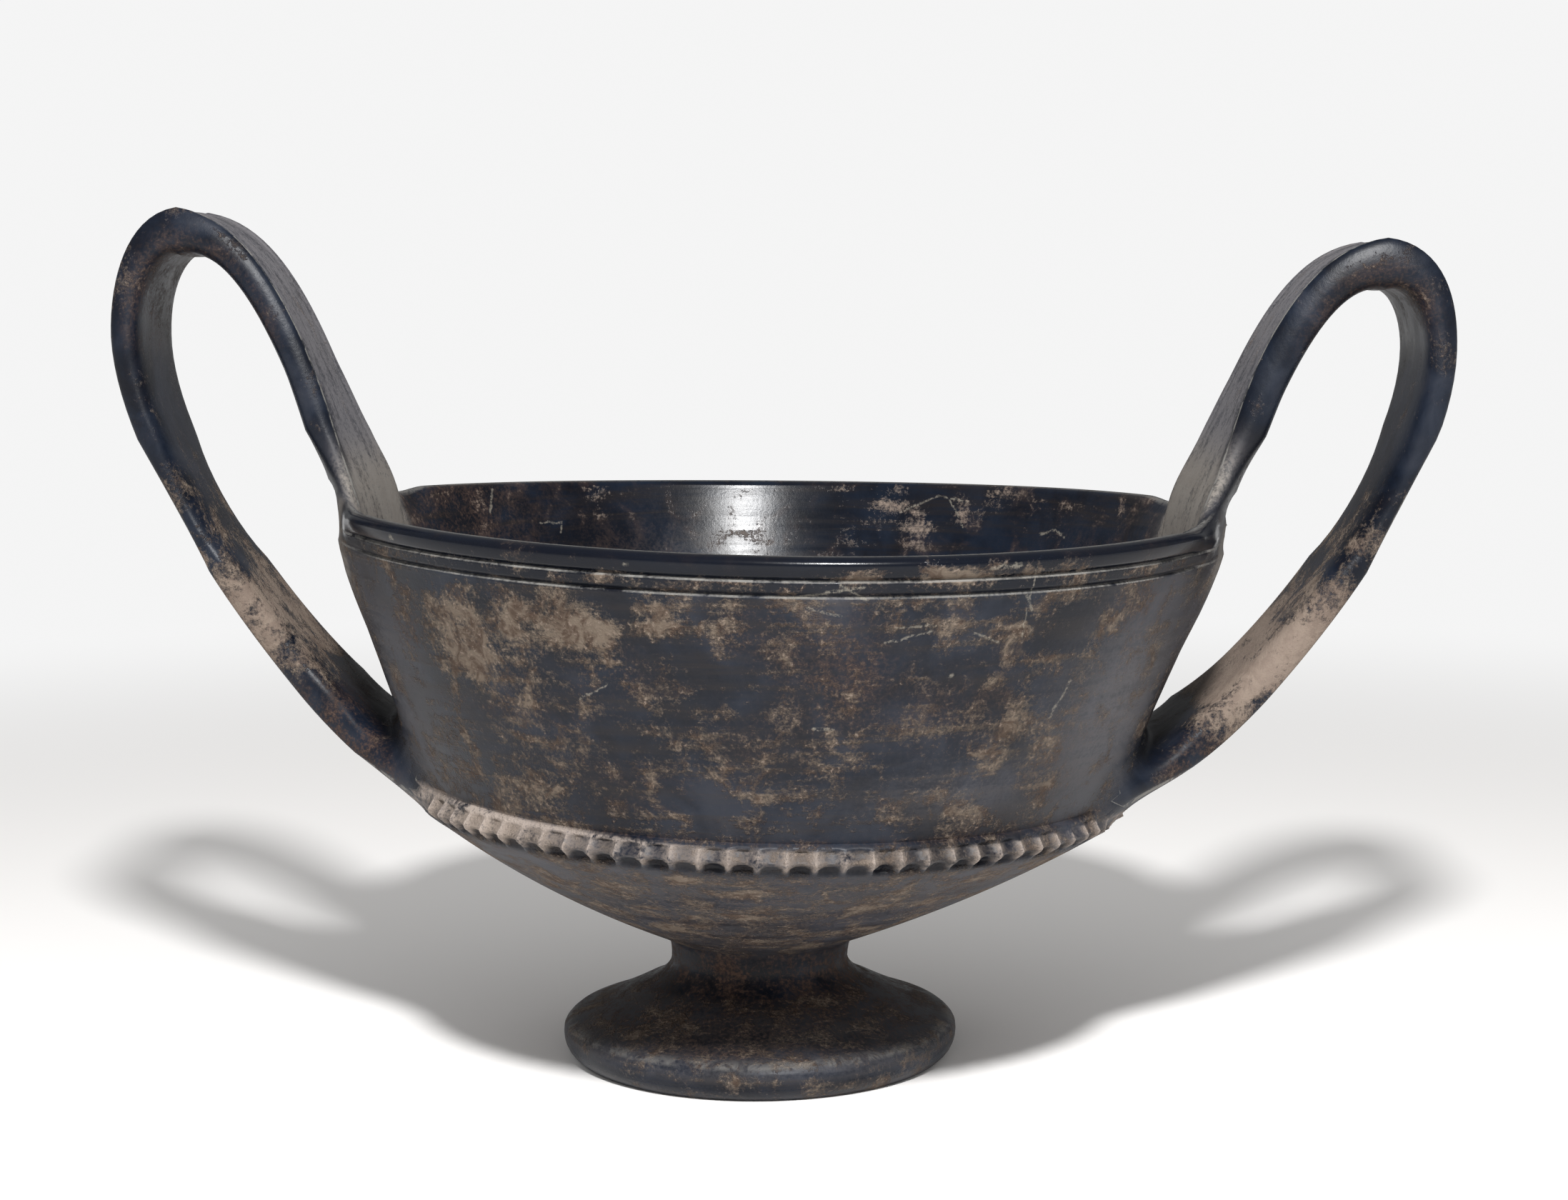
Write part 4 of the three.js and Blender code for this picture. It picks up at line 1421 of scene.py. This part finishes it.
def make_clay():
    clay.use_nodes = True
    tree = clay.node_tree
    shader = tree.nodes["Principled BSDF"]
    place = add(tree, "ShaderNodeTexCoord").outputs["Object"]
    mark = {name: add(tree, "ShaderNodeAttribute", attribute_name=name).outputs["Fac"] for name in MARKS}
    rubbed = placed_group(tree, burnish, Place=place, Strap=mark["strap"], Along=mark["along"],
                          Across=mark["near_edge"])
    streak, cloudy = rubbed["Streak"], rubbed["Cloud"]
    earth = placed_group(tree, crust, Place=place, Amount=mark["crust"], Streak=streak)
    coarse, fine = earth["Coarse"], earth["Fine"]

    base = blend(tree, smooth_step(tree, cloudy, 0.35, 0.65), CLAY_DARK, CLAY_COOL)
    on_bowl = calc(tree, "MULTIPLY_ADD", mark["strap"], -0.8, 1.0)
    warmth = times(tree, smooth_step(tree, streak, 0.42, 0.7, 0.7), on_bowl)
    base = blend(tree, warmth, base, CLAY_WARM)
    haze = times(tree, smooth_step(tree, coarse, 0.5, 0.74, 0.3), on_bowl)
    base = blend(tree, haze, base, BROWN_STAIN_AND_SHADE)

    # Painted highlight: a pale line along the ridge by each strap's near edge.
    ridge = times(tree, mark["face_out"], stripe(tree, mark["near_edge"], 0.86, 0.05))
    groove = times(tree, mark["face_out"], stripe(tree, mark["near_edge"], 0.685, 0.07))
    broken_film = smooth_step(tree, shared(tree, fine, 0.5, streak), 0.36, 0.56)
    film_level = times(tree, mark["film"], calc(tree, "MULTIPLY_ADD", broken_film, 0.7, 0.3))
    film_level = calc(tree, "ADD", film_level, smooth_step(tree, cloudy, 0.48, 0.74, 0.1), clamp=True)
    # Painted shade: the film is left out of the groove beside that ridge so it stays dark, except at the
    # roots.
    painted_groove_shade = times(tree, groove, opposite(tree, mark["root"]))
    film_level = times(tree, film_level, opposite(tree, painted_groove_shade))
    film_level = times(tree, film_level, opposite(tree, mark["gloss"]), clamp=True)
    base = blend(tree, film_level, base, blend(tree, mark["root"], FILM_GREY, ROOT_GREY))

    in_lines, under_lip = lip_layers(tree, mark, coarse, fine)
    base = blend(tree, times(tree, under_lip, 0.85), base, CLAY_DARK)

    brown_edge = smooth_step(tree, shared(tree, fine, 0.45, coarse), 0.4, 0.6)
    # The brown layer lays real stain and painted shade alike.
    brown_and_shade_level = times(tree, mark["brown_and_shade"], brown_edge, clamp=True)
    stain_and_shade = blend(tree, smooth_step(tree, fine, 0.35, 0.65), DARK_STAIN_AND_SHADE, BROWN_STAIN_AND_SHADE)
    base = blend(tree, times(tree, brown_and_shade_level, 0.85), base, stain_and_shade)

    tone = blend(tree, smooth_step(tree, earth["Tone"], 0.38, 0.62), CRUST_BROWN, CRUST_TAN)
    bright = most(tree, smooth_step(tree, fine, 0.54, 0.76, 0.6), times(tree, mark["pale"], 0.7))
    tone = blend(tree, bright, tone, CRUST_CREAM)
    base = blend(tree, times(tree, earth["Mask"], 0.9), base, tone)

    patchy = shared(tree, fine, 0.4, coarse)
    cream = times(tree, mark["cream"], smooth_step(tree, patchy, 0.36, 0.56))
    cream_tone = blend(tree, times(tree, mark["scoop"], 0.55), NOTCH_CREAM, CRUST_TAN)
    base = blend(tree, cream, base, cream_tone)
    # Painted shade in the pits and just below the notched edge.
    base = blend(tree, times(tree, mark["pit"], 0.85), base, CLAY_DARK)

    broken = smooth_step(tree, earth["Tone"], 0.4, 0.56)
    pale_marks = most(tree, mark["foot_edge_pale"], times(tree, ridge, 0.95))
    pale_marks = times(tree, pale_marks, broken)
    pale_marks = most(tree, pale_marks, in_lines)
    # Painted highlight along the lip's crest.
    pale_marks = most(tree, pale_marks, times(tree, mark["painted_lip_highlight"], smooth_step(tree, fine, 0.3, 0.5, 0.7)))
    # Pale marks: grey wear in the two lines, the pale foot edge, and painted highlights on the strap ridges
    # and the lip's crest.
    base = blend(tree, pale_marks, base, WEAR_AND_HIGHLIGHT_GREY)

    wobble = times(tree, centred(tree, earth["Tone"]), 1.2)
    here = add(tree, "ShaderNodeCombineXYZ", {"X": calc(tree, "ADD", mark["around"], wobble),
                                              "Y": calc(tree, "SUBTRACT", mark["level"], wobble)}).outputs[0]
    on_outside = times(tree, scratches(tree, WALL_SCRATCHES, here), mark["outside"])
    on_inside = times(tree, scratches(tree, INNER_SCRATCHES, here), mark["within"])
    cuts = times(tree, most(tree, on_outside, on_inside), smooth_step(tree, fine, 0.38, 0.58))
    base = blend(tree, times(tree, cuts, 0.5), base, SCRATCH_PALE)
    tree.links.new(base, shader.inputs["Base Color"])

    shine = grey_blend(tree, mark["gloss"], 0.38, 0.22)
    shine = calc(tree, "ADD", shine, times(tree, centred(tree, streak), 0.2))
    matt = most(tree, film_level, brown_and_shade_level)
    matt = most(tree, most(tree, matt, earth["Mask"]), most(tree, cream, pale_marks))
    tree.links.new(grey_blend(tree, matt, shine, 0.85), shader.inputs["Roughness"])
    shader.inputs["Specular IOR Level"].default_value = 0.2

    relief = times(tree, streak, 0.04)
    relief = calc(tree, "MULTIPLY_ADD", fine, 0.03, relief)
    relief = calc(tree, "MULTIPLY_ADD", earth["Height"], 0.16, relief)
    relief = calc(tree, "MULTIPLY_ADD", cloudy, 0.1, relief)
    relief = times(tree, relief, calc(tree, "MULTIPLY_ADD", mark["gloss"], -0.6, 1.0))
    bump = add(tree, "ShaderNodeBump", {"Strength": 1.0, "Distance": MM, "Height": relief})
    tree.links.new(bump.outputs[0], shader.inputs["Normal"])
    return tree


make_clay()
print("nodes in the clay material:", len(clay.node_tree.nodes))

# %% [markdown]
# The cup stands on white paper that runs on out of sight behind it, under a
# wide white room. Far from the cup the paper glows a little, as paper does that
# has lamps of its own, so its far edge melts into the white room. One small
# lamp above the camera draws the soft shadows. A second one, which only shows
# as a reflection, sets the bright patch on the far wall inside.


# %% Table
ROOM_LIGHT = 0.5
ROOM_IN_GLOSS = 0.2
PAPER_WHITE = 0.91
PAPER_LIT = (0.92, 0.905, 0.89, 1)
PAPER_HALF = 6.0
GLOW_FROM, GLOW_FULL = 0.18, 0.55
NOTHING = (0, 0, 0, 1)


def make_table():
    size = PAPER_HALF
    mesh = bpy.data.meshes.new("table")
    corners = [(-size, -size, 0), (size, -size, 0), (size, size, 0), (-size, size, 0)]
    mesh.from_pydata(corners, [], [(0, 1, 2, 3)])
    table = object_from("table", mesh)
    paper = bpy.data.materials.new("white_paper")
    paper.use_nodes = True
    tree = paper.node_tree
    shader = tree.nodes["Principled BSDF"]
    shader.inputs["Roughness"].default_value = 0.8
    shader.inputs["Specular IOR Level"].default_value = 0.0
    place = add(tree, "ShaderNodeTexCoord").outputs["Object"]
    away_from_cup = vector_calc(tree, "LENGTH", place, out=1)
    glow = smooth_step(tree, away_from_cup, GLOW_FROM, GLOW_FULL)
    white = (PAPER_WHITE, PAPER_WHITE, PAPER_WHITE, 1)
    tree.links.new(blend(tree, glow, PAPER_LIT, NOTHING), shader.inputs["Base Color"])
    tree.links.new(blend(tree, glow, NOTHING, white), shader.inputs["Emission Color"])
    shader.inputs["Emission Strength"].default_value = 1.0
    mesh.materials.append(paper)
    return table


table = make_table()
print("paper across, m:", round(table.dimensions.x, 1))


# %% Lights
def make_light(name, at, aim, size, watts):
    data = bpy.data.lights.new(name, "AREA")
    data.shape = "DISK"
    data.size = size
    data.energy = watts
    lamp = bpy.data.objects.new(name, data)
    bpy.context.scene.collection.objects.link(lamp)
    lamp.location = Vector(at)
    lamp.rotation_euler = (Vector(aim) - Vector(at)).to_track_quat("-Z", "Y").to_euler()
    return lamp


LAMP_SIZE = 0.06
KEY_WATTS = 3.7
GLINT_WATTS = 2.8
key = make_light("key", (0.015, -0.37, 0.425), (0, 0, 0.06), LAMP_SIZE, KEY_WATTS)
glint = make_light("glint", (0.098, -0.355, 0.331), (-0.008, 0.062, 0.075), LAMP_SIZE, GLINT_WATTS)
glint.visible_diffuse = False
key.visible_glossy = False


def make_room_light():
    world = bpy.data.worlds.new("room")
    bpy.context.scene.world = world
    world.use_nodes = True
    tree = world.node_tree
    path = add(tree, "ShaderNodeLightPath").outputs
    strength = grey_blend(tree, path["Is Glossy Ray"], ROOM_LIGHT, ROOM_IN_GLOSS)
    strength = grey_blend(tree, path["Is Camera Ray"], strength, PAPER_WHITE)
    background = tree.nodes["Background"]
    background.inputs["Color"].default_value = (1, 1, 1, 1)
    tree.links.new(strength, background.inputs["Strength"])


make_room_light()
bpy.context.scene.view_settings.view_transform = "Standard"
print("key lamp, W:", key.data.energy)
